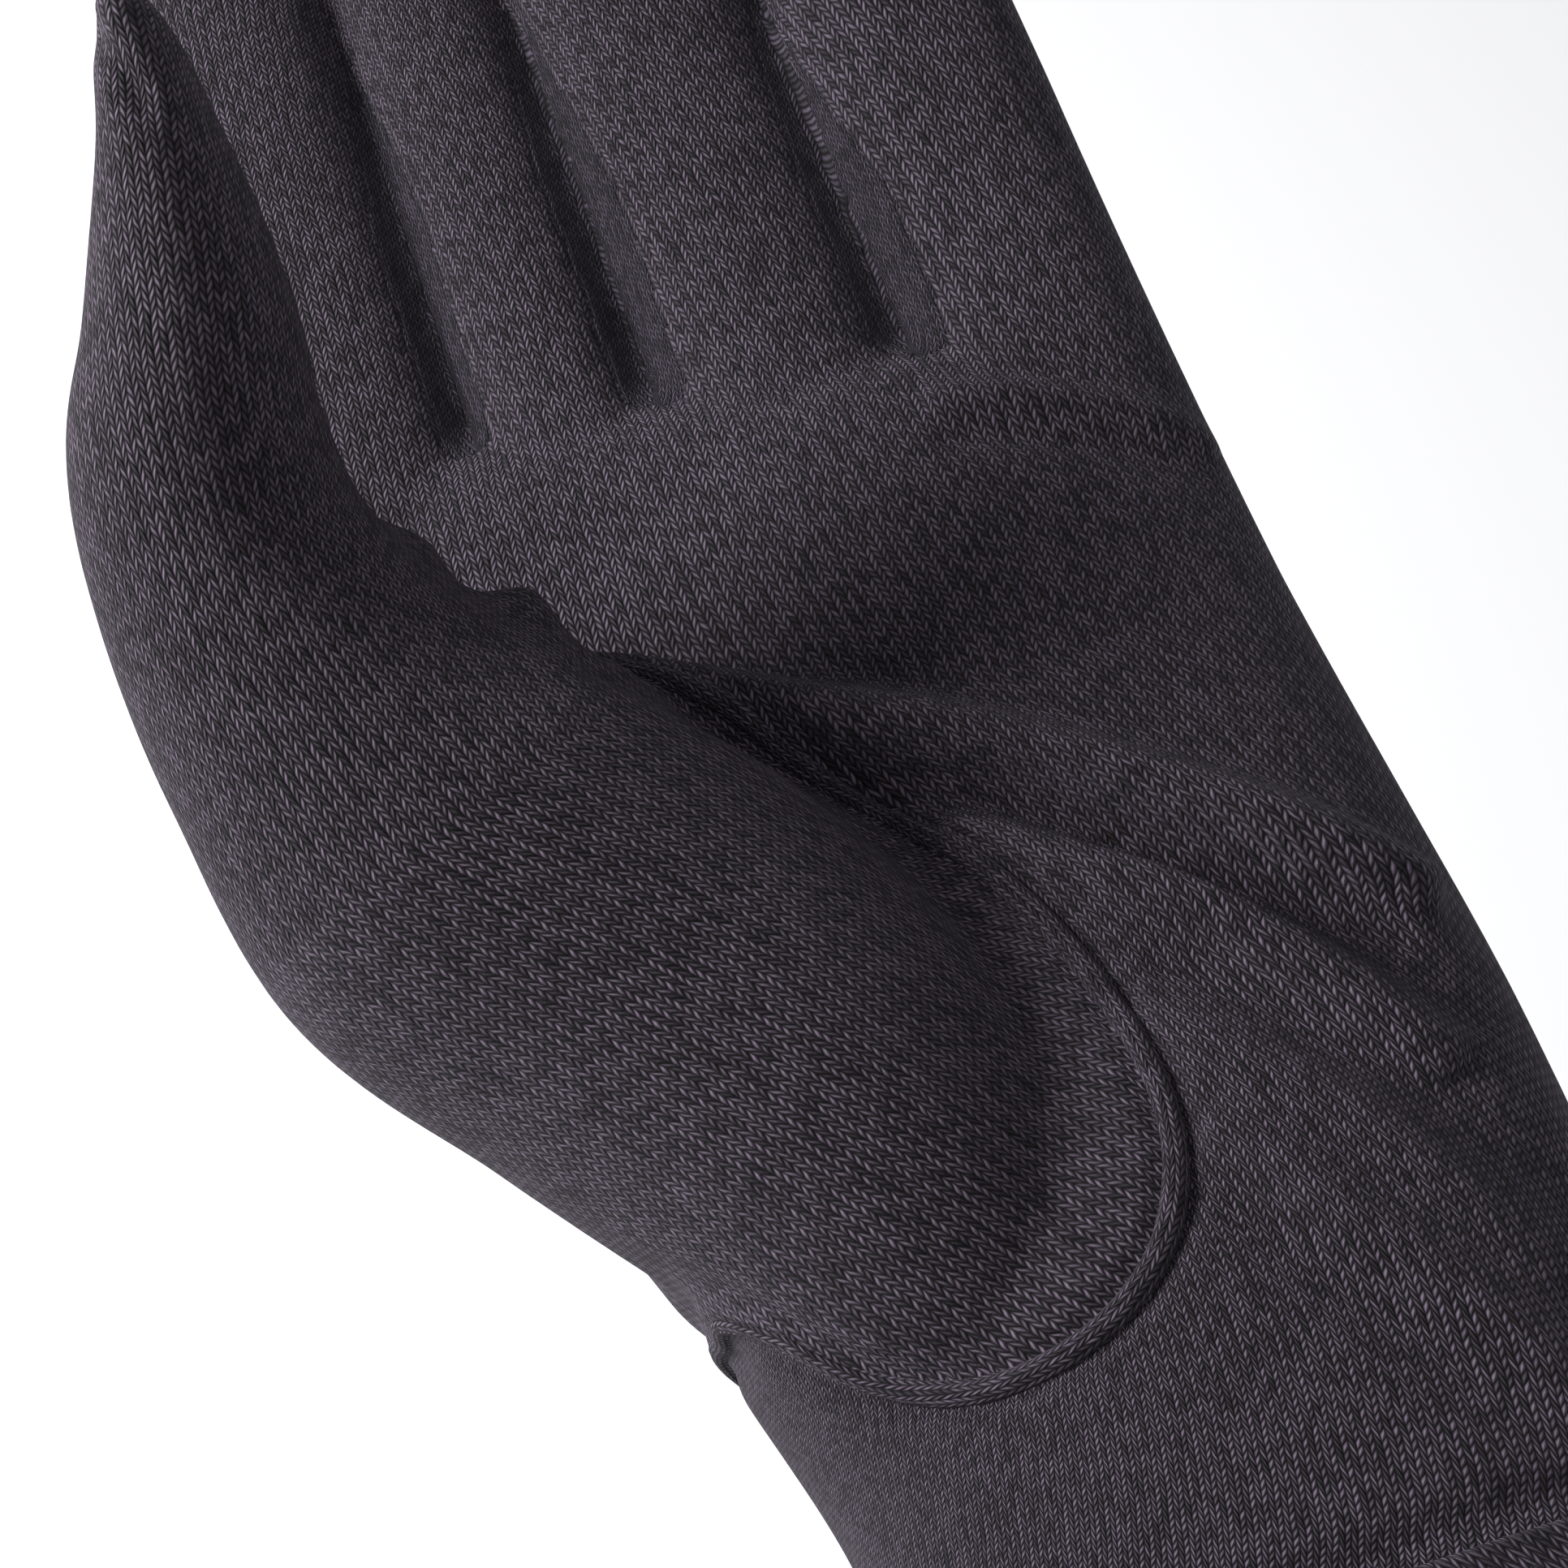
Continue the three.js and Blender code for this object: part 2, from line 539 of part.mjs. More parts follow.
const glove = new THREE.Group();
glove.name = "glove_liner";
glove.add(meshOf("palm_panel", palmPanel, CLOTH.trank));
glove.add(meshOf("back_panel", backPanel, CLOTH.trank));
glove.add(meshOf("thumb_piece", thumbPiece, CLOTH.thumb));
glove.add(meshOf("thumb_seam_welt", welt, CLOTH.welt));
glove.add(meshOf("fourchette_index_middle", fourchettes[0], CLOTH.strips));
glove.add(meshOf("fourchette_middle_ring", fourchettes[1], CLOTH.strips));
glove.add(meshOf("fourchette_ring_little", fourchettes[2], CLOTH.strips));
glove.add(meshOf("cuff_band", cuffBand, CLOTH.cuff));

export default glove;
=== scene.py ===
# %% [markdown]
# # A knitted glove liner
# A liner is the thin inner glove of a dress glove. This one is dark single jersey, worn on a left
# hand with the palm up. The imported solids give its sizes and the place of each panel. Here the
# same table of sections is lofted again, finer, and the cloth gets its folds, seams and knit.

# %% Load the frame
import json
import math
import bpy
import numpy as np
from mathutils import Matrix, Vector

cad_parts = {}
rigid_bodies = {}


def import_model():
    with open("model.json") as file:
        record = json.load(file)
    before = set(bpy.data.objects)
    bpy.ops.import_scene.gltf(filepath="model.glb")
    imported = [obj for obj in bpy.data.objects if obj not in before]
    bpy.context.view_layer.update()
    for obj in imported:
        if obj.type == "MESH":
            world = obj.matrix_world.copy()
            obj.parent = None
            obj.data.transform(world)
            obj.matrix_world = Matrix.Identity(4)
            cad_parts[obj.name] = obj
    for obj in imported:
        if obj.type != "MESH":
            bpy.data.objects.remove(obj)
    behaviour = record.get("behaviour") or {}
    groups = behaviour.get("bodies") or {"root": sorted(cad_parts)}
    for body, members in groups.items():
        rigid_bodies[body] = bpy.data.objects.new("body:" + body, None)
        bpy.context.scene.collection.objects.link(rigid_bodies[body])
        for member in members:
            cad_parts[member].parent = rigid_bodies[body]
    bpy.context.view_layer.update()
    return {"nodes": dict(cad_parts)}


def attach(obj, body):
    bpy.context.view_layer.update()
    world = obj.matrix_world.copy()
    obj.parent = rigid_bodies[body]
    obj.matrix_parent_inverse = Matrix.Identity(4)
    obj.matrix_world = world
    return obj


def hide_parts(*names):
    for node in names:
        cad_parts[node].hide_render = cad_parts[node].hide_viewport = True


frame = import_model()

print("solids:", sorted(frame["nodes"]))

# %% [markdown]
# ## Sizes
# Everything is worked out in millimetres and turned into metres when a mesh is made. The tables
# hold shares of the named sizes, so the hand stays a hand when one of them changes.

# %% Named sizes
MM = 0.001
HAND_LENGTH = 164.0
PALM_WIDTH = 81.0
PALM_DEPTH = 30.0
FINGER_LENGTH = 114.0
CUFF_LENGTH = 40.0
FINGER_OVERLAP = 0.6
FINGERS_MIDDLE = -0.161
SECTION_POWER = 2.3
FINGER_POWER = 2.2
HOLLOW_X = -0.3
HOLLOW_REACH = 0.21
WALL = 0.9
SEAM_FLOOR = -7.0
VOXEL = 0.7

# %% Tables of sections
HAND = dict(
    at=[-0.03, 0.12, 0.24, 0.35, 0.44, 0.51, 0.61, 0.72, 0.85, 0.92, 0.975],
    shift=[0, -0.007, -0.015, -0.03, -0.052, -0.078, -0.117, -0.154, -0.17, -0.172, -0.172],
    width=[0.72, 0.725, 0.73, 0.74, 0.795, 0.85, 0.915, 0.975, 0.995, 0.99, 0.95],
    front=[0.65, 0.655, 0.66, 0.66, 0.63, 0.59, 0.54, 0.49, 0.45, 0.37, 0.19],
    back=[0.63, 0.625, 0.62, 0.62, 0.58, 0.56, 0.54, 0.53, 0.5, 0.42, 0.22],
    hollow=[0, 0, 0, 0, 0, 0.02, 0.07, 0.13, 0.11, 0.04, 0],
    slant=[0, 0, 0, 0, 0, -0.02, -0.04, -0.07, -0.11, -0.15, -0.17],
)
FINGERS = [
    dict(name="index", start=0.805, length=0.9386, width=0.2296, depth=0.567, bend=16),
    dict(name="middle", start=0.805, length=1.0, width=0.2, depth=0.567, bend=15),
    dict(name="ring", start=0.768, length=0.9649, width=0.2691, depth=0.6, bend=17),
    dict(name="little", start=0.732, length=0.8158, width=0.258, depth=0.55, bend=20),
]
FINGER_PROFILE = dict(
    at=[0, 0.3, 0.5, 0.62, 0.75, 0.88, 0.95, 0.985, 1.0],
    width=[1, 1, 1, 1, 0.98, 0.87, 0.68, 0.43, 0.16],
    depth=[1, 1, 0.96, 0.95, 0.88, 0.78, 0.6, 0.38, 0.14],
)
THUMB = dict(
    at=[0, 0.1, 0.2, 0.3, 0.4, 0.5, 0.58, 0.66, 0.74, 0.82, 0.9, 0.96, 1.0],
    x=[-18, -19, -23.5, -32.7, -42.3, -48, -50.3, -49.6, -47.2, -45.5, -44.3, -43.8, -43.9],
    y=[60, 72, 86, 100, 111.5, 122, 131.5, 138.5, 144.5, 151, 157.5, 163, 166.5],
    z=[3, 6, 10, 15.5, 22, 30, 37, 42.7, 47.2, 51.2, 55.2, 58.6, 60.5],
    across=[10, 15, 17, 18.2, 18, 13.5, 10.8, 9.6, 8, 6.3, 4.3, 3, 1.4],
    through=[11, 15, 16.5, 15.8, 14.8, 12.5, 11.2, 10.8, 10.2, 9.4, 8, 6, 3.6],
)
WEB = dict(
    at=[0, 0.4, 0.7, 1.0],
    x=[-44, -44, -43, -41],
    y=[117, 124.5, 131, 136],
    z=[27, 18, 8, -3],
    across=[12, 11.5, 11, 10],
    through=[11.5, 8.5, 7, 6],
)
FLANK = dict(
    at=[0, 0.35, 0.7, 1.0],
    x=[-31, -21.5, -13.5, -8],
    y=[119.5, 113.5, 104.5, 95],
    z=[13.5, 9.5, 6.5, 4],
    across=[8, 8, 8, 7],
    through=[8, 8, 8, 7],
)
RIDGE = dict(
    at=[0, 0.25, 0.5, 0.7, 0.88, 1.0],
    x=[-31.5, -18, -4.1, 6.4, 16.3, 24],
    y=[123.6, 116.9, 109.6, 101.1, 92.4, 85.5],
    z=[15.5, 12.4, 11, 11.2, 10.8, 9],
    across=[5.5, 5.5, 5, 4.6, 4.4, 3],
    through=[5.5, 5.5, 5, 4.6, 4.4, 3],
)

# %% [markdown]
# ## Lofts
# A hand is a bundle of tubes. Each tube is a row of rings, and each ring is a rounded box whose
# corners are set by a power: 2 is an ellipse, more is squarer. Sculpting would be quicker for
# one glove, but rings keep the measured sizes.

# %% Smooth curves through a table
def column(table, key, at):
    """The table's column at any share, by a cubic through the rows."""
    rows = np.array(table["at"], float)
    values = np.array(table[key], float)
    at = np.clip(np.asarray(at, float), rows[0], rows[-1])
    i = np.clip(np.searchsorted(rows, at, side="left") - 1, 0, len(rows) - 2)
    t = (at - rows[i]) / (rows[i + 1] - rows[i])
    before, after = np.maximum(i - 1, 0), np.minimum(i + 2, len(rows) - 1)
    leave = (values[i + 1] - values[before]) / 2
    arrive = (values[after] - values[i]) / 2
    towards = (3 * t**2 - 2 * t**3) * (values[i + 1] - values[i])
    return values[i] + towards + (t**3 - 2 * t**2 + t) * leave + (t**3 - t**2) * arrive


def smoothstep(value, low, high):
    t = np.clip((np.asarray(value, float) - low) / (high - low), 0, 1)
    return t * t * (3 - 2 * t)


def unit(vectors):
    return vectors / np.maximum(np.linalg.norm(vectors, axis=-1, keepdims=True), 1e-9)


def ring(centre, lateral, normal, half, front, back, around, power):
    """One ring of a tube: half is its reach sideways, front and back along the normal."""
    angle = np.arange(around) / around * 2 * math.pi
    c, s = np.cos(angle), np.sin(angle)
    a = np.sign(c) * np.abs(c) ** (2 / power) * half
    b = np.sign(s) * np.abs(s) ** (2 / power) * np.where(s > 0, front, back)
    return np.array(centre) + a[:, None] * np.array(lateral) + b[:, None] * np.array(normal)


def new_object(name, points, faces):
    """A mesh object in metres from points in millimetres."""
    mesh = bpy.data.meshes.new(name)
    mesh.from_pydata((points * MM).tolist(), [], faces)
    made = bpy.data.objects.new(name, mesh)
    bpy.context.scene.collection.objects.link(made)
    return made


def loft(name, rings):
    """A closed tube through the rings."""
    around = len(rings[0])
    faces = []
    for i in range(len(rings) - 1):
        for j in range(around):
            a, b = i * around + j, i * around + (j + 1) % around
            faces.append((a, b, b + around, a + around))
    last = (len(rings) - 1) * around
    faces.append(tuple(range(around))[::-1])
    faces.append(tuple(range(last, last + around)))
    return new_object(name, np.concatenate(rings), faces)


def pick(*objects):
    """Only these objects are selected, and the first is active."""
    for other in bpy.context.view_layer.objects:
        other.select_set(False)
    for each in objects:
        each.select_set(True)
    bpy.context.view_layer.objects.active = objects[0]


def apply_modifier(piece, kind, **settings):
    """Adds one modifier to the piece and applies it at once."""
    modifier = piece.modifiers.new(kind.lower(), kind)
    for key, value in settings.items():
        setattr(modifier, key, value)
    pick(piece)
    bpy.ops.object.modifier_apply(modifier=modifier.name)


def in_edit_mode(piece, operator, **settings):
    """Runs one edit mode operator on all of the piece's mesh."""
    pick(piece)
    bpy.ops.object.mode_set(mode="EDIT")
    bpy.ops.mesh.select_all(action="SELECT")
    operator(**settings)
    bpy.ops.object.mode_set(mode="OBJECT")


# %% The hand and wrist
def hand_rings(around=96, steps=90):
    rings = []
    for at in np.linspace(HAND["at"][0], HAND["at"][-1], steps):
        row = {key: float(column(HAND, key, at)) for key in HAND}
        centre = (row["shift"] * PALM_WIDTH, at * HAND_LENGTH, 0)
        front = row["front"] * PALM_DEPTH
        points = ring(centre, (1, row["slant"], 0), (0, 0, 1), row["width"] * PALM_WIDTH / 2,
                      front, row["back"] * PALM_DEPTH, around, SECTION_POWER)
        away = (points[:, 0] / PALM_WIDTH - HOLLOW_X) / HOLLOW_REACH
        dip = row["hollow"] * PALM_DEPTH * np.exp(-away**2) * np.maximum(points[:, 2], 0) / front
        points[:, 2] -= dip
        rings.append(points)
    return rings


hand_form = loft("hand_form", hand_rings())

# %% [markdown]
# ## Fingers
# Each finger is a tube on an arc that curls a little towards the palm. They lie side by side and
# press a little into each other, so no light shows between them.

# %% The four fingers
def place_fingers():
    widths = [finger["width"] * PALM_WIDTH for finger in FINGERS]
    edge = FINGERS_MIDDLE * PALM_WIDTH - (sum(widths) + 1.2) / 2
    for finger, width in zip(FINGERS, widths):
        finger["x"] = edge + width / 2
        edge += width + 0.4
        finger["half"] = width / 2 + FINGER_OVERLAP
        finger["deep"] = finger["depth"] * PALM_DEPTH / 2
        finger["from"] = finger["start"] * HAND_LENGTH
        finger["long"] = finger["length"] * FINGER_LENGTH
        finger["turn"] = math.radians(finger["bend"])
        finger["radius"] = finger["long"] / finger["turn"]


def finger_rings(finger, around=64, steps=64):
    rings = []
    for share in np.sin(np.linspace(0, math.pi / 2, steps)) ** 0.9:
        slope = finger["turn"] * share
        radius = finger["radius"]
        centre = (finger["x"], finger["from"] + radius * math.sin(slope), radius * (1 - math.cos(slope)))
        normal = (0, -math.sin(slope), math.cos(slope))
        half = np.interp(share, FINGER_PROFILE["at"], FINGER_PROFILE["width"]) * finger["half"]
        deep = np.interp(share, FINGER_PROFILE["at"], FINGER_PROFILE["depth"]) * finger["deep"]
        rings.append(ring(centre, (1, 0, 0), normal, half, deep, deep, around, FINGER_POWER))
    return rings


place_fingers()
finger_forms = [loft(finger["name"], finger_rings(finger)) for finger in FINGERS]
print("finger centres:", [round(finger["x"], 1) for finger in FINGERS])

# %% [markdown]
# ## Thumb, web and the cloth beside them
# The thumb is a tube too, bent out of the palm. Three slimmer tubes fill what the cloth bridges:
# the web behind the thumb, the flank between ball and palm, and the ridge of the first palm fold.

# %% The thumb and the cloth beside it
def tube_frames(table, steps):
    """Centres, directions and half sizes along a bent tube."""
    at = np.linspace(table["at"][0], table["at"][-1], steps)
    centres = np.stack([column(table, key, at) for key in ("x", "y", "z")], axis=1)
    ahead = unit(np.gradient(centres, axis=0))
    lateral = unit(np.array([1.0, 0, 0]) - ahead * ahead[:, :1])
    normal = np.cross(lateral, ahead)
    return centres, ahead, lateral, normal, column(table, "across", at), column(table, "through", at)


def tube_rings(table, steps, around=64):
    centres, _, lateral, normal, across, through = tube_frames(table, steps)
    return [
        ring(centres[i], lateral[i], normal[i], across[i], through[i], through[i], around, 2)
        for i in range(steps)
    ]


thumb_form = loft("thumb_form", tube_rings(THUMB, 90))
web_form = loft("web_form", tube_rings(WEB, 24))
flank_form = loft("flank_form", tube_rings(FLANK, 24, 40))
ridge_form = loft("ridge_form", tube_rings(RIDGE, 40, 32))


# %% [markdown]
# ## Valleys
# The strips between the fingers don't reach the palm's level. A low tube in each gap gives the
# valley a floor, as the stretched strip does in the real glove.

# %% Cloth between the fingers
VALLEY_HALF, VALLEY_LEVEL, VALLEY_END = 2.6, 0.5, 0.84


def valley_rings(left, right, around=32, steps=40):
    """The cloth that lies between two fingers, lower than both of them."""
    rings = []
    border = (left["x"] + left["half"] + right["x"] - right["half"]) / 2
    for share in np.linspace(-0.1, VALLEY_END, steps):
        centre = np.zeros(3)
        normal = np.zeros(3)
        for finger in (left, right):
            slope = finger["turn"] * share
            radius = finger["radius"]
            centre += np.array([border, finger["from"] + radius * math.sin(slope),
                                radius * (1 - math.cos(slope))]) / 2
            normal += np.array([0, -math.sin(slope), math.cos(slope)]) / 2
        narrow = 1 - 0.6 * float(smoothstep(share, 0.5, VALLEY_END))
        deep = VALLEY_LEVEL * narrow * min(left["deep"], right["deep"])
        rings.append(ring(centre, (1, 0, 0), unit(normal), VALLEY_HALF * narrow, deep, deep, around, 2))
    return rings


valleys = [loft("valley", valley_rings(a, b)) for a, b in zip(FINGERS, FINGERS[1:])]

# %% [markdown]
# ## One skin
# The tubes are joined and remeshed to one even skin. Real jersey bridges the sharp creases where
# two tubes meet, and a few rounds of smoothing do the same.

# %% Join, remesh and smooth
form = hand_form
pick(form, thumb_form, web_form, flank_form, ridge_form, *valleys, *finger_forms)
bpy.ops.object.join()
form.name = "glove_form"
apply_modifier(form, "REMESH", mode="VOXEL", voxel_size=VOXEL * MM)
apply_modifier(form, "SMOOTH", factor=0.5, iterations=24)
print("one skin:", len(form.data.vertices), "vertices")

# %% Read a mesh as arrays
def read(items, name, kind, size=1):
    """One property of all vertices, corners or faces of a mesh."""
    values = np.empty(len(items) * size, kind)
    items.foreach_get(name, values)
    return values.reshape(-1, size).astype(float) if size > 1 else values


def positions(mesh):
    return read(mesh.vertices, "co", np.float32, 3) / MM


def face_centres(mesh):
    return read(mesh.polygons, "center", np.float32, 3) / MM


def move_along_normals(piece, distance):
    """Moves each vertex by its distance, out of the skin or into it."""
    mesh = piece.data
    points = positions(mesh)
    points += read(mesh.vertex_normals, "vector", np.float32, 3) * distance(points)[:, None]
    mesh.vertices.foreach_set("co", (points * MM).astype(np.float32).ravel())
    mesh.update()


# %% [markdown]
# ## Where a point lies
# The folds, the seams and the knit all need to know where a point is on the hand: on which
# finger, how far along it, how high on its side, and how far from the thumb's seam.

# %% Along and around a finger
def finger_place(points):
    """For each point: the finger it is on, its share along it, and its height on the side."""
    centres = np.array([finger["x"] for finger in FINGERS])
    edges = [FINGERS[i]["x"] + FINGERS[i]["half"] for i in range(3)]
    which = np.searchsorted(np.array(edges), points[:, 0])
    start = np.array([finger["from"] for finger in FINGERS])[which]
    radius = np.array([finger["radius"] for finger in FINGERS])[which]
    turn = np.array([finger["turn"] for finger in FINGERS])[which]
    forward, down = points[:, 1] - start, radius - points[:, 2]
    share = np.arctan2(forward, down) / turn
    height = radius - np.hypot(forward, down)
    return which, share, height, points[:, 0] - centres[which]


# %% Distance to a line on the hand
def spline(points, steps):
    """A smooth line through a few points, as the sewing line follows the chalk marks."""
    points = np.array(points, float)
    rows = dict(at=np.arange(len(points)))
    at = np.linspace(0, len(points) - 1, steps)
    return np.stack([column(dict(rows, v=points[:, k]), "v", at) for k in range(points.shape[1])], axis=1)


def line_distance(points, line):
    """Distance, share along and signed side of each point against a line."""
    best = np.full(len(points), 1e9)
    along = np.zeros(len(points))
    side = np.zeros(len(points))
    for i in range(len(line) - 1):
        a, step = line[i], line[i + 1] - line[i]
        t = np.clip(((points - a) @ step) / (step @ step), 0, 1)
        away = points - a - t[:, None] * step
        distance = np.linalg.norm(away, axis=1)
        nearer = distance < best
        best = np.where(nearer, distance, best)
        along = np.where(nearer, (i + t) / (len(line) - 1), along)
        side = np.where(nearer, np.sign(step[0] * away[:, 1] - step[1] * away[:, 0]), side)
    return best, along, side


# %% The thumb's seam
SEAM_X = [-95, -60, -44, -31, -23, -15, -8, -3.2, -1, -1, -4, -10, -18, -26, -36, -60, -95]
SEAM_Y = [148, 136, 130.5, 124.5, 119, 111, 101.5, 91.5, 81, 73, 66, 61.5, 60.5, 64, 74.2, 96, 120]
SEAM_LEAN = [1, 1, 1, 0.8, 0.3, 0.05] + [0] * 11
LEAN_AT = [0, 12, 20, 34, 90]
LEAN_FORWARD = [0, 0, 5, 22, 92]


def thumb_side(points):
    """Distance inside the thumb's seam, in millimetres: above 0 on the thumb's own piece."""
    chalk = spline(np.stack([SEAM_X, SEAM_Y, SEAM_LEAN], axis=1), 120)
    forward = np.interp(points[:, 2], LEAN_AT, LEAN_FORWARD)
    best = np.full(len(points), 1e9)
    side = np.zeros(len(points))
    x, y = points[:, 0], points[:, 1]
    for a, b in zip(chalk[:-1], chalk[1:]):
        ay, by = a[1] + forward * a[2], b[1] + forward * b[2]
        dx, dy = b[0] - a[0], by - ay
        t = np.clip(((x - a[0]) * dx + (y - ay) * dy) / (dx * dx + dy * dy), 0, 1)
        ox, oy = x - a[0] - t * dx, y - ay - t * dy
        distance = np.hypot(ox, oy)
        nearer = distance < best
        best = np.where(nearer, distance, best)
        side = np.where(nearer, -np.sign(dx * oy - dy * ox), side)
    return np.minimum(side * best, points[:, 2] - SEAM_FLOOR)


# %% The panels' own borders
FORKS = [
    dict(left=0, lift=0.0, width=12.5),
    dict(left=1, lift=0.5, width=12.5),
    dict(left=2, lift=2.0, width=9.0),
]
STRIP_FROM, STRIP_TO = 0.1, 0.9


def back_level(points):
    """Height above the side seams: above 0 is the palm's panel, below it the back's."""
    _, _, height, _ = finger_place(points)
    on_finger = smoothstep(points[:, 1], 0.84 * HAND_LENGTH, 0.96 * HAND_LENGTH)
    return points[:, 2] * (1 - on_finger) + height * on_finger


def strip_inside(points):
    """For each point: the fork whose strip holds it, or -1, and the depth inside the strip."""
    which, share, height, across = finger_place(points)
    found = np.full(len(points), -1)
    depth = np.full(len(points), -9.0)
    for number, fork in enumerate(FORKS):
        for finger_number, sign in ((fork["left"], 1), (fork["left"] + 1, -1)):
            inner = across * sign - 0.22 * 2 * FINGERS[finger_number]["half"]
            middle = fork["lift"] * (1 - smoothstep(share, 0.55, STRIP_TO))
            half = fork["width"] / 2 * (1 - 0.72 * smoothstep(share, 0.45, STRIP_TO))
            long = FINGERS[finger_number]["long"]
            ends = np.minimum(share - STRIP_FROM, STRIP_TO - share) * long
            inside = np.minimum(np.minimum(half - np.abs(height - middle), ends), inner)
            mine = (which == finger_number) & (inside > depth)
            depth = np.where(mine, inside, depth)
            found = np.where(mine & (inside > 0), number, found)
    return found, depth


# %% [markdown]
# ## Folds
# Cloth that bends with the hand throws folds. Each fold is a line on the palm with a height and
# a width: a rounded back with a hollow on the side that falls away. They are pushed out of the
# skin along its normals, because a bump in the material would vanish in the outline.

# %% Palm folds and web folds
PALM_FOLDS = [
    dict(name="across_ball", rise=2.6, wide=2.3, hollow=0.7, side=1,
         line=[(-27, 122), (-17.6, 116.9), (-4.1, 109.6), (6.4, 101.1), (16.3, 92.4), (24, 86)]),
    dict(name="under_ball", rise=2.4, wide=2.6, hollow=0.6, side=-1,
         line=[(-8, 104), (1.1, 95.2), (6.5, 90.1), (12.9, 82.1), (20, 72)]),
    dict(name="band_upper", rise=1.1, wide=3.0, hollow=1.0, side=-1,
         line=[(-1, 83), (3.3, 78.8), (8.1, 73), (12, 68.2), (20, 55)]),
    dict(name="band_lower", rise=1.3, wide=2.6, hollow=0.7, side=1,
         line=[(1, 72), (4.2, 69.1), (7.4, 63), (11, 58), (18, 46)]),
    dict(name="finger_root", rise=1.3, wide=2.2, hollow=0.8, side=1,
         line=[(4, 143.5), (9, 142.5), (17.2, 139), (26, 134)]),
]
WEB_FOLDS = [
    dict(name="web_upper", rise=3.3, wide=2.9,
         line=[(-42.3, 136, 30), (-40.2, 131, 30), (-39.2, 125, 30)]),
    dict(name="web_lower", rise=3.5, wide=2.9,
         line=[(-37, 126, 27), (-33.4, 124.5, 27), (-32.6, 118, 27)]),
    dict(name="web_between", rise=-1.8, wide=1.6,
         line=[(-40.5, 129, 29), (-37.2, 126.5, 28), (-35.6, 121.5, 29)]),
    dict(name="tip_crease", rise=-1.5, wide=1.3,
         line=[(-46, 163, 61), (-44.6, 158, 62), (-43.5, 152, 62)]),
]


HOLLOW_OFFSET = 1.7
PALM_FADE, WEB_END = 0.45, 0.35
CUFF_GROOVE = dict(above=1.6, wide=1.3, depth=1.1)


def fold_push(points):
    """How far each point of the skin moves out for the folds."""
    push = np.zeros(len(points))
    palm = smoothstep(points[:, 2], 0, 6)
    for fold in PALM_FOLDS:
        distance, along, side = line_distance(points[:, :2], spline(fold["line"], 24))
        swell = np.sin(np.clip(along, 0, 1) * math.pi) ** PALM_FADE
        across = distance * side * fold["side"] / fold["wide"]
        back = np.exp(-across**2)
        hollow = fold["hollow"] * np.exp(-((across + HOLLOW_OFFSET) ** 2))
        push += palm * swell * fold["rise"] * (back - hollow)
    for fold in WEB_FOLDS:
        distance, along, _ = line_distance(points, spline(fold["line"], 16))
        swell = WEB_END + (1 - WEB_END) * np.sin(along * math.pi)
        push += fold["rise"] * swell * np.exp(-((distance / fold["wide"]) ** 2))
    above_cuff = (points[:, 1] - CUFF_LENGTH - CUFF_GROOVE["above"]) / CUFF_GROOVE["wide"]
    return push - CUFF_GROOVE["depth"] * np.exp(-above_cuff**2)


# %% Push the folds out of the skin
move_along_normals(form, fold_push)
print("folds: highest push", round(float(fold_push(positions(form.data)).max()), 2), "mm")

# %% [markdown]
# ## Seams
# Where the thumb piece is sewn in, the cloth is pulled down to the thread. The skin gets a groove
# on both sides of the seam. The other seams lie in valleys already.

# %% Pull the cloth down to the seams
WELT_WIDTH = 1.9
GROOVE = dict(depth=0.7, wide=0.75)


def seam_pull(points):
    """How far each point moves at the thumb's seam: below 0 is into the skin."""
    from_welt = np.abs(np.abs(thumb_side(points)) - WELT_WIDTH / 2)
    return -GROOVE["depth"] * np.exp(-((from_welt / GROOVE["wide"]) ** 2))


move_along_normals(form, seam_pull)

# %% [markdown]
# ## Cutting the panels
# The skin is cut where the real cloth is sewn: thumb piece, palm, back and the three strips
# between the fingers. The wrist end is opened with a straight cut under the cuff band.

# %% Cut the wrist open
CUT_UNDER_CUFF = 1.5
cut_at = (0, (CUFF_LENGTH - CUT_UNDER_CUFF) * MM, 0)
in_edit_mode(form, bpy.ops.mesh.bisect, plane_co=cut_at, plane_no=(0, 1, 0), clear_inner=True)
print("after the cut:", len(form.data.polygons), "faces")

# %% Sort the faces into panels
PANELS = ["palm_panel", "back_panel", "thumb_piece", "fourchette_index_middle",
          "fourchette_middle_ring", "fourchette_ring_little"]


def sort_faces(points):
    """The number of the panel that each point belongs to."""
    panel = np.where(back_level(points) > 0, 0, 1)
    found, _ = strip_inside(points)
    panel = np.where(found >= 0, 3 + found, panel)
    return np.where(thumb_side(points) > 0, 2, panel)


def take_faces(source, wanted, name):
    """A new object from some faces of the skin."""
    mesh = source.data
    sizes = read(mesh.polygons, "loop_total", np.int32)
    kept = read(mesh.loops, "vertex_index", np.int32)[np.repeat(wanted, sizes)]
    used, again = np.unique(kept, return_inverse=True)
    cuts = np.cumsum(sizes[wanted])[:-1]
    faces = [part.tolist() for part in np.split(again.reshape(-1), cuts)]
    return new_object(name, positions(mesh)[used], faces)


panel_of_face = sort_faces(face_centres(form.data))
cloth = {name: take_faces(form, panel_of_face == k, name + "_cloth") for k, name in enumerate(PANELS)}
for name, piece in cloth.items():
    print(name, len(piece.data.polygons), "faces")

# %% [markdown]
# ## The lie of the knit
# Jersey has columns of V stitches, the wales, that run along each panel. Every point gets a
# place in the flat cloth: how far round the hand, counted in wales, and how far along it,
# counted in courses. It is kept in the piece's UV map, so the stitches follow the hand. The
# large panels are unrolled as a sewer would lay them flat. The small strips are measured.

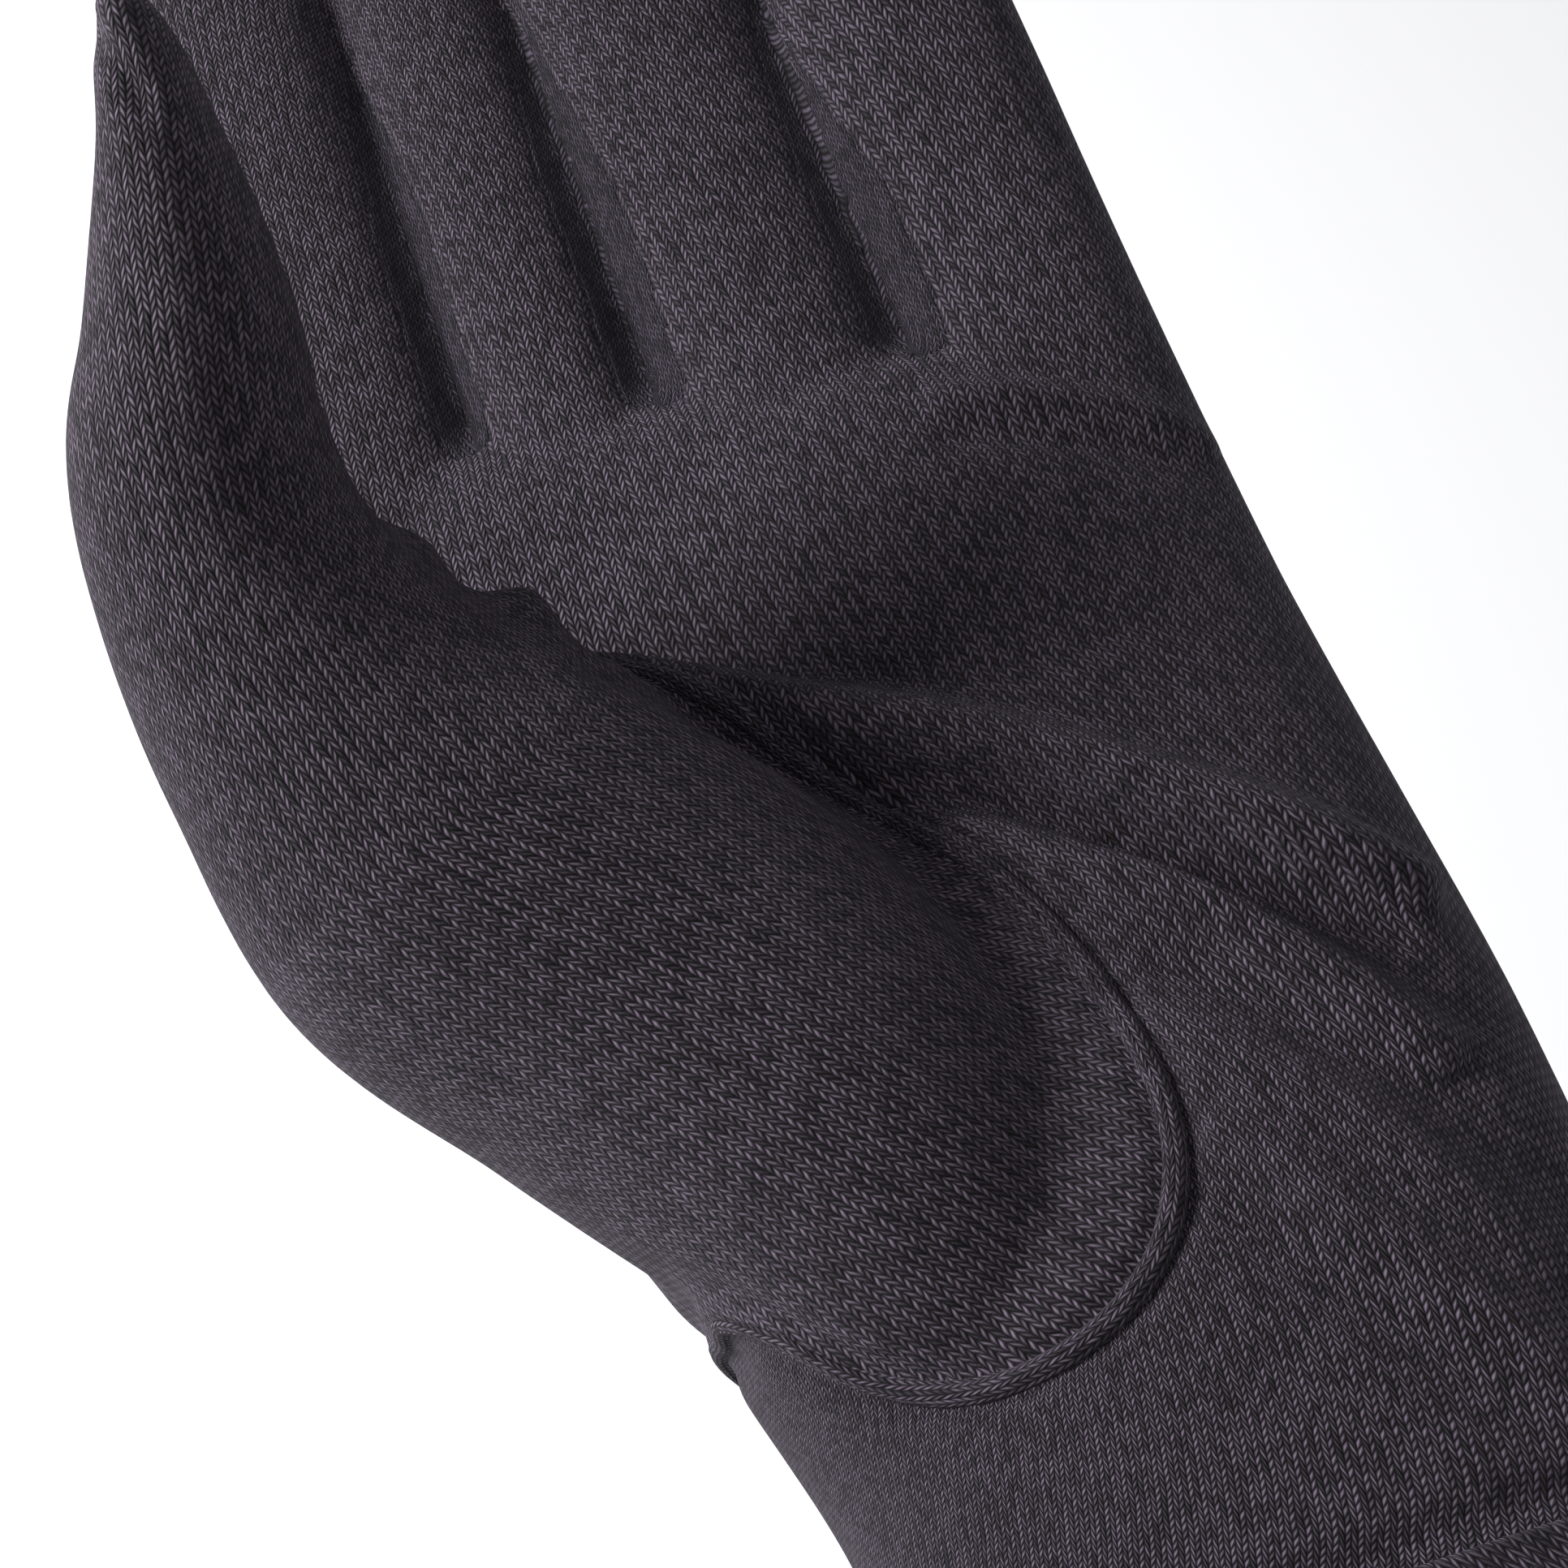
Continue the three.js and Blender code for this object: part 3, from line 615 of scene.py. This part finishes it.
# %% Sizes of the knit
WALE, COURSE = 0.95, 0.7
TWISTS = ((0.3, 115.0), (0.35, 85.0))
BALL_TWIST, BALL_FROM = 0.36, 55.0
THUMB_ROUND, THUMB_FLAT = 16.0, 6.0
NEARBY = 0.15
UNROLL_ROUNDS = 8


# %% Which way the thumb's cloth runs
def thumb_sides(points):
    """Each point's place across and above the thumb's middle line, and along it."""
    stations = 160
    centres, _, lateral, normal, _, _ = tube_frames(THUMB, stations)
    steps = np.concatenate([[0], np.cumsum(np.linalg.norm(np.diff(centres[:, 1:], axis=0), axis=1))])
    ahead = unit(np.gradient(centres[:, 1:], axis=0))
    best = np.full(len(points), 1e9)
    nearest = np.zeros(len(points), int)
    for i, centre in enumerate(centres):
        away = points[:, 1:] - centre[1:]
        distance = np.abs(away @ ahead[i]) + NEARBY * np.linalg.norm(away, axis=1)
        nearer = distance < best
        best = np.where(nearer, distance, best)
        nearest = np.where(nearer, i, nearest)
    away = points - centres[nearest]
    side = np.einsum("ij,ij->i", away, lateral[nearest])
    up = np.einsum("ij,ij->i", away, normal[nearest])
    along = steps[nearest] + np.einsum("ij,ij->i", away[:, 1:], ahead[nearest])
    return np.stack([side, up, along], axis=1)


def lie_on_thumb(points):
    """The wales follow the thumb, and the courses stay level across the hand."""
    side, up, along = thumb_sides(points).T
    return THUMB_ROUND * np.arctan2(side, np.maximum(up, 0.1) + THUMB_FLAT), along


# %% Which way the strips' cloth runs
def lie_on_strip(points):
    """Down one finger's side, over the valley's floor and up the next finger's side."""
    which, share, height, across = finger_place(points)
    deep, start, long = np.array([[f["deep"], f["from"], f["long"]] for f in FINGERS])[which].T
    around = points[:, 0] - np.sign(across) * (np.abs(height) - VALLEY_LEVEL * deep)
    return around, start + share * long


# %% Unroll a panel
def open_tube(mesh, sides):
    """Marks the edges of the thumb's back where its cloth is cut open to lie flat."""
    edges = read(mesh.loops, "edge_index", np.int32)
    sizes = read(mesh.polygons, "loop_total", np.int32)
    face = np.repeat(np.arange(len(sizes)), sizes)
    order = np.argsort(edges, kind="stable")
    edges, face = edges[order], face[order]
    twin = np.nonzero(edges[1:] == edges[:-1])[0]
    a, b = face[twin], face[twin + 1]
    right, below = sides[:, 0] > 0, sides[:, 1] < 0
    split = (right[a] != right[b]) & below[a] & below[b]
    for edge in edges[twin[split]]:
        mesh.edges[int(edge)].use_seam = True


def unroll(piece, wish, **how):
    """Unrolls a panel and turns the flat cloth to the wished directions."""
    mesh = piece.data
    mesh.uv_layers.new(name="knit")
    in_edit_mode(piece, bpy.ops.uv.unwrap, margin=0.0, **how)
    corners = read(mesh.loops, "vertex_index", np.int32)
    flat = read(mesh.uv_layers["knit"].data, "uv", np.float32, 2)
    flat = (flat - flat.mean(axis=0)) @ [1, 1j]
    aim = np.stack(wish, axis=1)[corners] @ [1, 1j]
    best = None
    for laid in (flat, flat.conj()):
        turn = (laid.conj() * (aim - aim.mean())).sum() / (np.abs(laid) ** 2).sum()
        miss = float(np.abs(laid * turn - (aim - aim.mean())).mean())
        if best is None or miss < best[0]:
            best = (miss, laid * turn / abs(turn))
    miss, laid = best
    points = positions(mesh)[corners]
    sizes = read(mesh.polygons, "loop_total", np.int32)
    first = np.concatenate([[0], np.cumsum(sizes)[:-1]])
    step = np.linalg.norm(points[first + 1] - points[first], axis=1)
    flat_step = np.abs(laid[first + 1] - laid[first])
    scale = np.median(step) / np.median(flat_step)
    stretch = np.percentile(flat_step * scale / np.maximum(step, 1e-6), [5, 50, 95])
    print(piece.name, "unrolled:", round(miss, 1), "mm off the wish, stretch", np.round(stretch, 2))
    made = laid * scale + aim.mean()
    return made.real, made.imag


def lay_knit(piece, around, along, at_corners=False):
    """Writes wales and courses to the piece's UV map."""
    mesh = piece.data
    layer = mesh.uv_layers.get("knit") or mesh.uv_layers.new(name="knit")
    lie = np.stack([around / WALE, along / COURSE], axis=1)
    if not at_corners:
        lie = lie[read(mesh.loops, "vertex_index", np.int32)]
    layer.data.foreach_set("uv", lie.astype(np.float32).ravel())


# %% Lay the knit on every panel
for name, piece in cloth.items():
    points = positions(piece.data)
    if name.startswith("fourchette"):
        lay_knit(piece, *lie_on_strip(points))
        continue
    if name == "thumb_piece":
        open_tube(piece.data, thumb_sides(face_centres(piece.data)))
        around, along = unroll(piece, lie_on_thumb(points), method="MINIMUM_STRETCH",
                               iterations=UNROLL_ROUNDS)
        around += BALL_TWIST * np.minimum(along - BALL_FROM, 0)
    else:
        around, along = unroll(piece, (points[:, 0], points[:, 1]), method="CONFORMAL")
        corner_y = points[read(piece.data.loops, "vertex_index", np.int32), 1]
        around += sum(twist * np.minimum(corner_y - start, 0) for twist, start in TWISTS)
    lay_knit(piece, around, along, at_corners=True)

# %% [markdown]
# ## The thumb's welt
# The thumb piece is let into the palm with a folded welt: a soft cord of cloth that stands
# between two rows of stitches. It is drawn along the line where the two panels meet. The line
# is found on the skin itself, edge by edge, so the welt lies on the cloth everywhere.

# %% Find the line on the skin
def border_line(mesh, value):
    """The longest loop on the mesh where a value at its vertices passes 0, with its normals."""
    points, out = positions(mesh), read(mesh.vertex_normals, "vector", np.float32, 3)
    crossing = {}

    def cross(a, b):
        key = (min(a, b), max(a, b))
        if key not in crossing:
            t = value[a] / (value[a] - value[b])
            crossing[key] = (points[a] + t * (points[b] - points[a]), unit(out[a] + t * (out[b] - out[a])))
        return key

    links = {}
    low = value < 0
    for face in mesh.polygons:
        ids = list(face.vertices)
        hits = [cross(a, b) for a, b in zip(ids, ids[1:] + ids[:1]) if low[a] != low[b]]
        if len(hits) == 2:
            links.setdefault(hits[0], []).append(hits[1])
            links.setdefault(hits[1], []).append(hits[0])
    chains = []
    free = set(links)
    while free:
        chain = [min(free)]
        while chain[-1] in free:
            free.discard(chain[-1])
            chain += [key for key in links[chain[-1]] if key in free][:1]
        chains.append(chain)
    chain = max(chains, key=len)
    return np.array([crossing[k][0] for k in chain]), np.array([crossing[k][1] for k in chain])


def lengths(points):
    """Length along a line of points, from its first."""
    return np.concatenate([[0], np.cumsum(np.linalg.norm(np.diff(points, axis=0), axis=1))])


def even_loop(points, out, step, rounds=6):
    """The loop again at even steps, smoothed a little."""
    for _ in range(rounds):
        points = (np.roll(points, 1, 0) + 2 * points + np.roll(points, -1, 0)) / 4
        out = (np.roll(out, 1, 0) + 2 * out + np.roll(out, -1, 0)) / 4
    points, out = np.vstack([points, points[:1]]), np.vstack([out, out[:1]])
    length = lengths(points)
    at = np.linspace(0, length[-1], int(length[-1] / step) + 1)[:-1]
    points = np.stack([np.interp(at, length, points[:, k]) for k in range(3)], axis=1)
    return points, unit(np.stack([np.interp(at, length, out[:, k]) for k in range(3)], axis=1))


# %% Sew a welt along the loop
WELT_STEP = 0.35
WELT_RISE, WELT_SUNK, WELT_BELLY = 0.45, 0.55, 0.4
WELT_FINER = 1.25


def welt_along(name, points, out, around=14):
    """A half-round strip of cloth along a loop, sunk into the skin at both sides."""
    ahead = unit(np.roll(points, -1, 0) - np.roll(points, 1, 0))
    aside = unit(np.cross(ahead, out))
    angle = np.arange(around) / around * 2 * math.pi
    across, up = np.cos(angle) * WELT_WIDTH / 2, np.sin(angle)
    up = np.where(up > 0, up * (WELT_RISE + WELT_SUNK), up * WELT_BELLY) - WELT_SUNK
    vertices = points[:, None] + across[None, :, None] * aside[:, None] + up[None, :, None] * out[:, None]
    count = len(points)
    faces = []
    for i in range(count):
        for j in range(around):
            k, n = (i + 1) % count, (j + 1) % around
            faces.append((i * around + j, k * around + j, k * around + n, i * around + n))
    piece = new_object(name, vertices.reshape(-1, 3), faces)
    round_length = np.arange(around) / around * math.pi * WELT_WIDTH * WELT_FINER
    lay_knit(piece, np.tile(round_length, count), np.repeat(lengths(points), around))
    in_edit_mode(piece, bpy.ops.mesh.normals_make_consistent, inside=False)
    return piece


seam_points, seam_out = border_line(form.data, thumb_side(positions(form.data)))
seam_points, seam_out = even_loop(seam_points, seam_out, WELT_STEP)
welt = welt_along("thumb_seam_welt_cloth", seam_points, seam_out)
print("thumb seam:", round(len(seam_points) * WELT_STEP), "mm round the thumb")

# %% [markdown]
# ## The cuff band
# Below the wrist the glove ends in a band of cloth that is folded back on itself. Both its edges
# are round folds. It is lofted as one closed wall: outside up, over the edge and down inside.

# %% Loft the cuff as a folded wall
CUFF_OUT, CUFF_IN, CUFF_ROUND = 0.9, 1.7, 0.6
CUFF_AROUND, CUFF_STEPS, CUFF_FOLD_STEPS = 220, 64, 8


def cuff_band():
    """The band's wall: rings up the outside, over the fold, down the inside and round the hem."""
    low, high = CUFF_ROUND, CUFF_LENGTH - CUFF_ROUND
    middle, half = (CUFF_OUT - CUFF_IN) / 2, (CUFF_OUT + CUFF_IN) / 2
    turn = np.linspace(0, math.pi, CUFF_FOLD_STEPS + 2)[1:-1]
    outside = [(y, CUFF_OUT) for y in np.linspace(low, high, CUFF_STEPS)]
    top = [(high + CUFF_ROUND * math.sin(t), middle + half * math.cos(t)) for t in turn]
    inside = [(y, -CUFF_IN) for y in np.linspace(high, low, CUFF_STEPS)]
    hem = [(low - CUFF_ROUND * math.sin(t), middle - half * math.cos(t)) for t in turn]
    rings, around = [], []
    for y, grow in outside + top + inside + hem:
        row = {key: float(column(HAND, key, y / HAND_LENGTH)) for key in HAND}
        centre = (row["shift"] * PALM_WIDTH, y, 0)
        wide, front = row["width"] * PALM_WIDTH / 2, row["front"] * PALM_DEPTH
        back = row["back"] * PALM_DEPTH
        rings.append(ring(centre, (1, 0, 0), (0, 0, 1), wide + grow, front + grow, back + grow,
                          CUFF_AROUND, SECTION_POWER))
        hand = ring(centre, (1, 0, 0), (0, 0, 1), wide, front, back, CUFF_AROUND, SECTION_POWER)
        length = lengths(np.vstack([hand, hand[:1]]))
        round_again = np.where(np.arange(CUFF_AROUND) > CUFF_AROUND // 2, length[-1], 0)
        around.append(length[CUFF_AROUND // 4] - length[:-1] + round_again + centre[0])
    count = len(rings)
    faces = []
    for i in range(count):
        for j in range(CUFF_AROUND):
            k, n = (i + 1) % count * CUFF_AROUND, (j + 1) % CUFF_AROUND
            faces.append((i * CUFF_AROUND + j, i * CUFF_AROUND + n, k + n, k + j))
    piece = new_object("cuff_band_cloth", np.concatenate(rings), faces)
    in_edit_mode(piece, bpy.ops.mesh.normals_make_consistent, inside=False)
    return piece, np.concatenate(around)


cuff, around = cuff_band()
along = positions(cuff.data)[:, 1]
lay_knit(cuff, around + sum(twist * (along - start) for twist, start in TWISTS), along)

# %% Give the panels their thickness
for piece in cloth.values():
    apply_modifier(piece, "SOLIDIFY", thickness=WALL * MM, offset=-1.0)
for piece in (*cloth.values(), welt, cuff):
    pick(piece)
    bpy.ops.object.shade_smooth()
bpy.data.objects.remove(form)

# %% [markdown]
# ## Shader maths
# The stitches are drawn with sums on the piece's own UV map. A small class wraps a socket, so a
# formula in Python adds the Math nodes that work it out.

# %% A socket that can do sums
class Wire:
    """One output of a node, with the usual signs of arithmetic."""

    def __init__(self, tree, socket):
        self.tree, self.socket = tree, socket

    def maths(self, operation, *values):
        made = self.tree.nodes.new("ShaderNodeMath")
        made.operation = operation
        for place, value in zip(made.inputs, values):
            if isinstance(value, Wire):
                self.tree.links.new(value.socket, place)
            else:
                place.default_value = value
        return Wire(self.tree, made.outputs[0])

    def __add__(self, other):
        return self.maths("ADD", self, other)

    def __radd__(self, other):
        return self.maths("ADD", other, self)

    def __sub__(self, other):
        return self.maths("SUBTRACT", self, other)

    def __rsub__(self, other):
        return self.maths("SUBTRACT", other, self)

    def __mul__(self, other):
        return self.maths("MULTIPLY", self, other)

    def __rmul__(self, other):
        return self.maths("MULTIPLY", other, self)

    def __truediv__(self, other):
        return self.maths("DIVIDE", self, other)

    def __pow__(self, other):
        return self.maths("POWER", self, other)

    def __abs__(self):
        return self.maths("ABSOLUTE", self)

    def fract(self):
        return self.maths("FRACT", self)

    def floor(self):
        return self.maths("FLOOR", self)

    def sine(self):
        return self.maths("SINE", self)

    def at_least(self, low):
        return self.maths("MAXIMUM", self, low)

    def at_most(self, high):
        return self.maths("MINIMUM", self, high)


class Finish:
    """A material with one Principled shader."""

    def __init__(self, name):
        self.material = bpy.data.materials.new(name)
        self.material.use_nodes = True
        self.tree = self.material.node_tree
        self.shader = self.tree.nodes["Principled BSDF"]

    def node(self, kind, settings=None, **values):
        made = self.tree.nodes.new(kind)
        for key, value in (settings or {}).items():
            setattr(made, key, value)
        for key, value in values.items():
            place = made.inputs[key.replace("_", " ")]
            if isinstance(value, Wire):
                self.tree.links.new(value.socket, place)
            else:
                place.default_value = value
        return made

    def wire(self, made, output=0):
        return Wire(self.tree, made.outputs[output])

    def mix(self, factor, low, high):
        made = self.tree.nodes.new("ShaderNodeMix")
        made.data_type = "RGBA"
        for place, value in ((made.inputs[0], factor), (made.inputs[6], low), (made.inputs[7], high)):
            if isinstance(value, Wire):
                self.tree.links.new(value.socket, place)
            else:
                place.default_value = value
        return Wire(self.tree, made.outputs[2])

    def feed(self, name, value):
        self.tree.links.new(value.socket, self.shader.inputs[name])


# %% [markdown]
# ## Jersey
# Seen close, jersey is columns of V's. Each leg of a V is a short fat stroke of yarn that comes
# up in the middle of the wale and dives at its edge. Between the legs the gaps are painted nearly
# black as painted shade, and the tops of the strokes get a painted highlight.

# %% Knit the material
LEG_LEAN = 1.05
YARN_ROUND, LEG_ROUND, STROKE_ROUND = 1.6, 0.8, 1.2
STRAY_SCALE, STRAY_ACROSS, STRAY_ALONG = 420.0, 0.42, 0.3
DRIFT_SCALE, DRIFT_ACROSS = 60.0, 0.5
CLOUD_SCALE, CLOUD_SHARE, LUCK_SHARE, OTHER_LEG = 45.0, 0.35, 0.9, 0.12
FLUFF_SCALE, FLUFF_HEIGHT = 4200.0, 0.25
STITCH_RELIEF = 0.2


def rgb(code):
    """A screen colour as the shader's linear colour."""
    parts = [int(code[i:i + 2], 16) / 255 for i in (0, 2, 4)]
    return tuple(((p + 0.055) / 1.055) ** 2.4 if p > 0.04045 else p / 12.92 for p in parts) + (1.0,)


# Painted shade: the near black that fills the gaps between the yarn's strokes.
GAP_SHADE = rgb("020102")


def jersey(name, yarn, light):
    """Single jersey: yarn is its colour, and light is the colour of a painted highlight on the top of each
    stroke.
    """
    finish = Finish(name)
    knit = finish.node("ShaderNodeUVMap", {"uv_map": "knit"})
    parts = finish.node("ShaderNodeSeparateXYZ", Vector=finish.wire(knit))
    place = Wire(finish.tree, finish.node("ShaderNodeTexCoord").outputs["Object"])
    noise = finish.node("ShaderNodeTexNoise", Vector=place, Scale=STRAY_SCALE, Detail=2.0)
    stray = finish.wire(noise) - 0.5
    noise = finish.node("ShaderNodeTexNoise", Vector=place, Scale=DRIFT_SCALE, Detail=1.0)
    u = finish.wire(parts, 0) + stray * STRAY_ACROSS + (finish.wire(noise) - 0.5) * DRIFT_ACROSS
    v = finish.wire(parts, 1) + stray * STRAY_ALONG
    side = abs(u.fract() - 0.5)
    stroke = v - side * (2 * LEG_LEAN)
    across = abs(stroke.fract() - 0.5) * 2
    body = (1 - across**YARN_ROUND).at_least(0)
    ends = (side * (2 * math.pi)).sine().at_least(0) ** LEG_ROUND
    height = (body * ends) ** STROKE_ROUND
    number = finish.node("ShaderNodeCombineXYZ", X=(u * 2).floor(), Y=stroke.floor())
    luck = finish.node("ShaderNodeTexWhiteNoise", {"noise_dimensions": "2D"}, Vector=finish.wire(number))
    cloud = finish.node("ShaderNodeTexNoise", Vector=place, Scale=CLOUD_SCALE, Detail=3.0)
    other_leg = (u.fract() - 0.5).maths("SIGN", u.fract() - 0.5) * OTHER_LEG
    shade = finish.wire(cloud) * CLOUD_SHARE + finish.wire(luck) * LUCK_SHARE + other_leg
    # Painted shade: the colour runs from the yarn down to near black as a stroke dives into the gaps.
    colour = finish.mix(height, GAP_SHADE, yarn)
    # Painted highlight: the tops of the strokes are mixed towards the light colour, by random amounts per
    # stitch.
    colour = finish.mix((height * shade * 1.2).at_most(1), colour, light)
    finish.feed("Base Color", colour)
    finish.feed("Roughness", 0.95 - height * 0.2)
    fluff = finish.node("ShaderNodeTexNoise", Vector=place, Scale=FLUFF_SCALE, Detail=1.0)
    relief = height + (finish.wire(fluff) - 0.5) * FLUFF_HEIGHT
    bump = finish.node("ShaderNodeBump", Height=relief, Distance=STITCH_RELIEF * MM, Strength=1.0)
    finish.feed("Normal", finish.wire(bump))
    finish.shader.inputs["Sheen Weight"].default_value = 0.08
    finish.shader.inputs["Sheen Roughness"].default_value = 0.4
    finish.shader.inputs["Sheen Tint"].default_value = rgb("b9b4cc")
    finish.shader.inputs["Specular IOR Level"].default_value = 0.25
    return finish.material


# One dark cloth in five tones. The thumb's copy is a little lighter, painted light for the thumb's lit
# side. The strips' copy is darker, painted shade for the valleys between the fingers.
TRANK = jersey("trank_jersey", rgb("1c181e"), rgb("655a69"))
THUMB_CLOTH_LIT = jersey("thumb_jersey_lit", rgb("1e1a20"), rgb("6a5e6d"))
STRIPS_SHADED = jersey("strip_jersey_shaded", rgb("1a171c"), rgb("504857"))
WELT_CLOTH = jersey("welt_jersey", rgb("1e1a20"), rgb("665b6a"))
CUFF_CLOTH = jersey("cuff_jersey", rgb("1c181e"), rgb("5e5462"))

# %% Dress the panels
DRESS = [
    ("palm_panel", cloth["palm_panel"], TRANK, "jersey_trank"),
    ("back_panel", cloth["back_panel"], TRANK, "jersey_trank"),
    ("thumb_piece", cloth["thumb_piece"], THUMB_CLOTH_LIT, "jersey_thumb"),
    ("thumb_seam_welt", welt, WELT_CLOTH, "seam_welt"),
    ("fourchette_index_middle", cloth["fourchette_index_middle"], STRIPS_SHADED, "jersey_strips"),
    ("fourchette_middle_ring", cloth["fourchette_middle_ring"], STRIPS_SHADED, "jersey_strips"),
    ("fourchette_ring_little", cloth["fourchette_ring_little"], STRIPS_SHADED, "jersey_strips"),
    ("cuff_band", cuff, CUFF_CLOTH, "jersey_cuff"),
]
for node, piece, material, slot in DRESS:
    piece.data.materials.clear()
    piece.data.materials.append(material)
    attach(piece, "root")
    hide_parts(node)

# %% [markdown]
# ## Studio
# The photograph has soft light from the thumb's side and a white ground. The floor is a pale
# sheet well below the glove, which is held up, so that its shadow is soft and faint.

# %% Floor and light
FLOOR_SIZE, FLOOR_HEIGHT = 6.0, -0.22
LIT_PLACE = Vector((0, 0.1, 0))

pick(cuff)
bpy.ops.mesh.primitive_plane_add(size=FLOOR_SIZE, location=(0, 0, FLOOR_HEIGHT))
floor = bpy.context.object
floor.name = "floor"
pale = Finish("pale_floor")
pale.shader.inputs["Base Color"].default_value = (0.86, 0.86, 0.87, 1)
pale.shader.inputs["Roughness"].default_value = 0.9
floor.data.materials.append(pale.material)


def soft_light(name, place, size, power):
    data = bpy.data.lights.new(name, "AREA")
    data.shape = "DISK"
    data.size = size
    data.energy = power
    lamp = bpy.data.objects.new(name, data)
    bpy.context.scene.collection.objects.link(lamp)
    lamp.location = place
    lamp.rotation_euler = (LIT_PLACE - Vector(place)).to_track_quat("-Z", "Y").to_euler()


soft_light("key", (-0.7, 0.42, 0.48), 0.34, 15)
soft_light("fill", (0.35, -0.45, 0.7), 0.8, 1.4)
world = bpy.data.worlds.new("studio")
bpy.context.scene.world = world
world.use_nodes = True
sky = world.node_tree.nodes["Background"]
sky.inputs["Color"].default_value = (0.95, 0.96, 1.0, 1)
sky.inputs["Strength"].default_value = 0.29
bpy.context.scene.view_settings.view_transform = "Standard"

# %% Camera at the photo's angle
CAMERA_PLACE = (-17.9, 2.9, 195.5)
CAMERA_RIGHT, CAMERA_UP = (0.94, -0.293, -0.176), (0.342, 0.806, 0.484)
CAMERA_AHEAD = (0, 0.515, -0.857)

camera_data = bpy.data.cameras.new("camera")
camera_data.lens = 63.17
camera_data.sensor_width = 36
camera_data.clip_start = 0.01
camera = bpy.data.objects.new("camera", camera_data)
bpy.context.scene.collection.objects.link(camera)
turn = Matrix((CAMERA_RIGHT, CAMERA_UP, -Vector(CAMERA_AHEAD))).transposed()
camera.matrix_world = Matrix.Translation(Vector(CAMERA_PLACE) * MM) @ turn.to_4x4()
bpy.context.scene.camera = camera
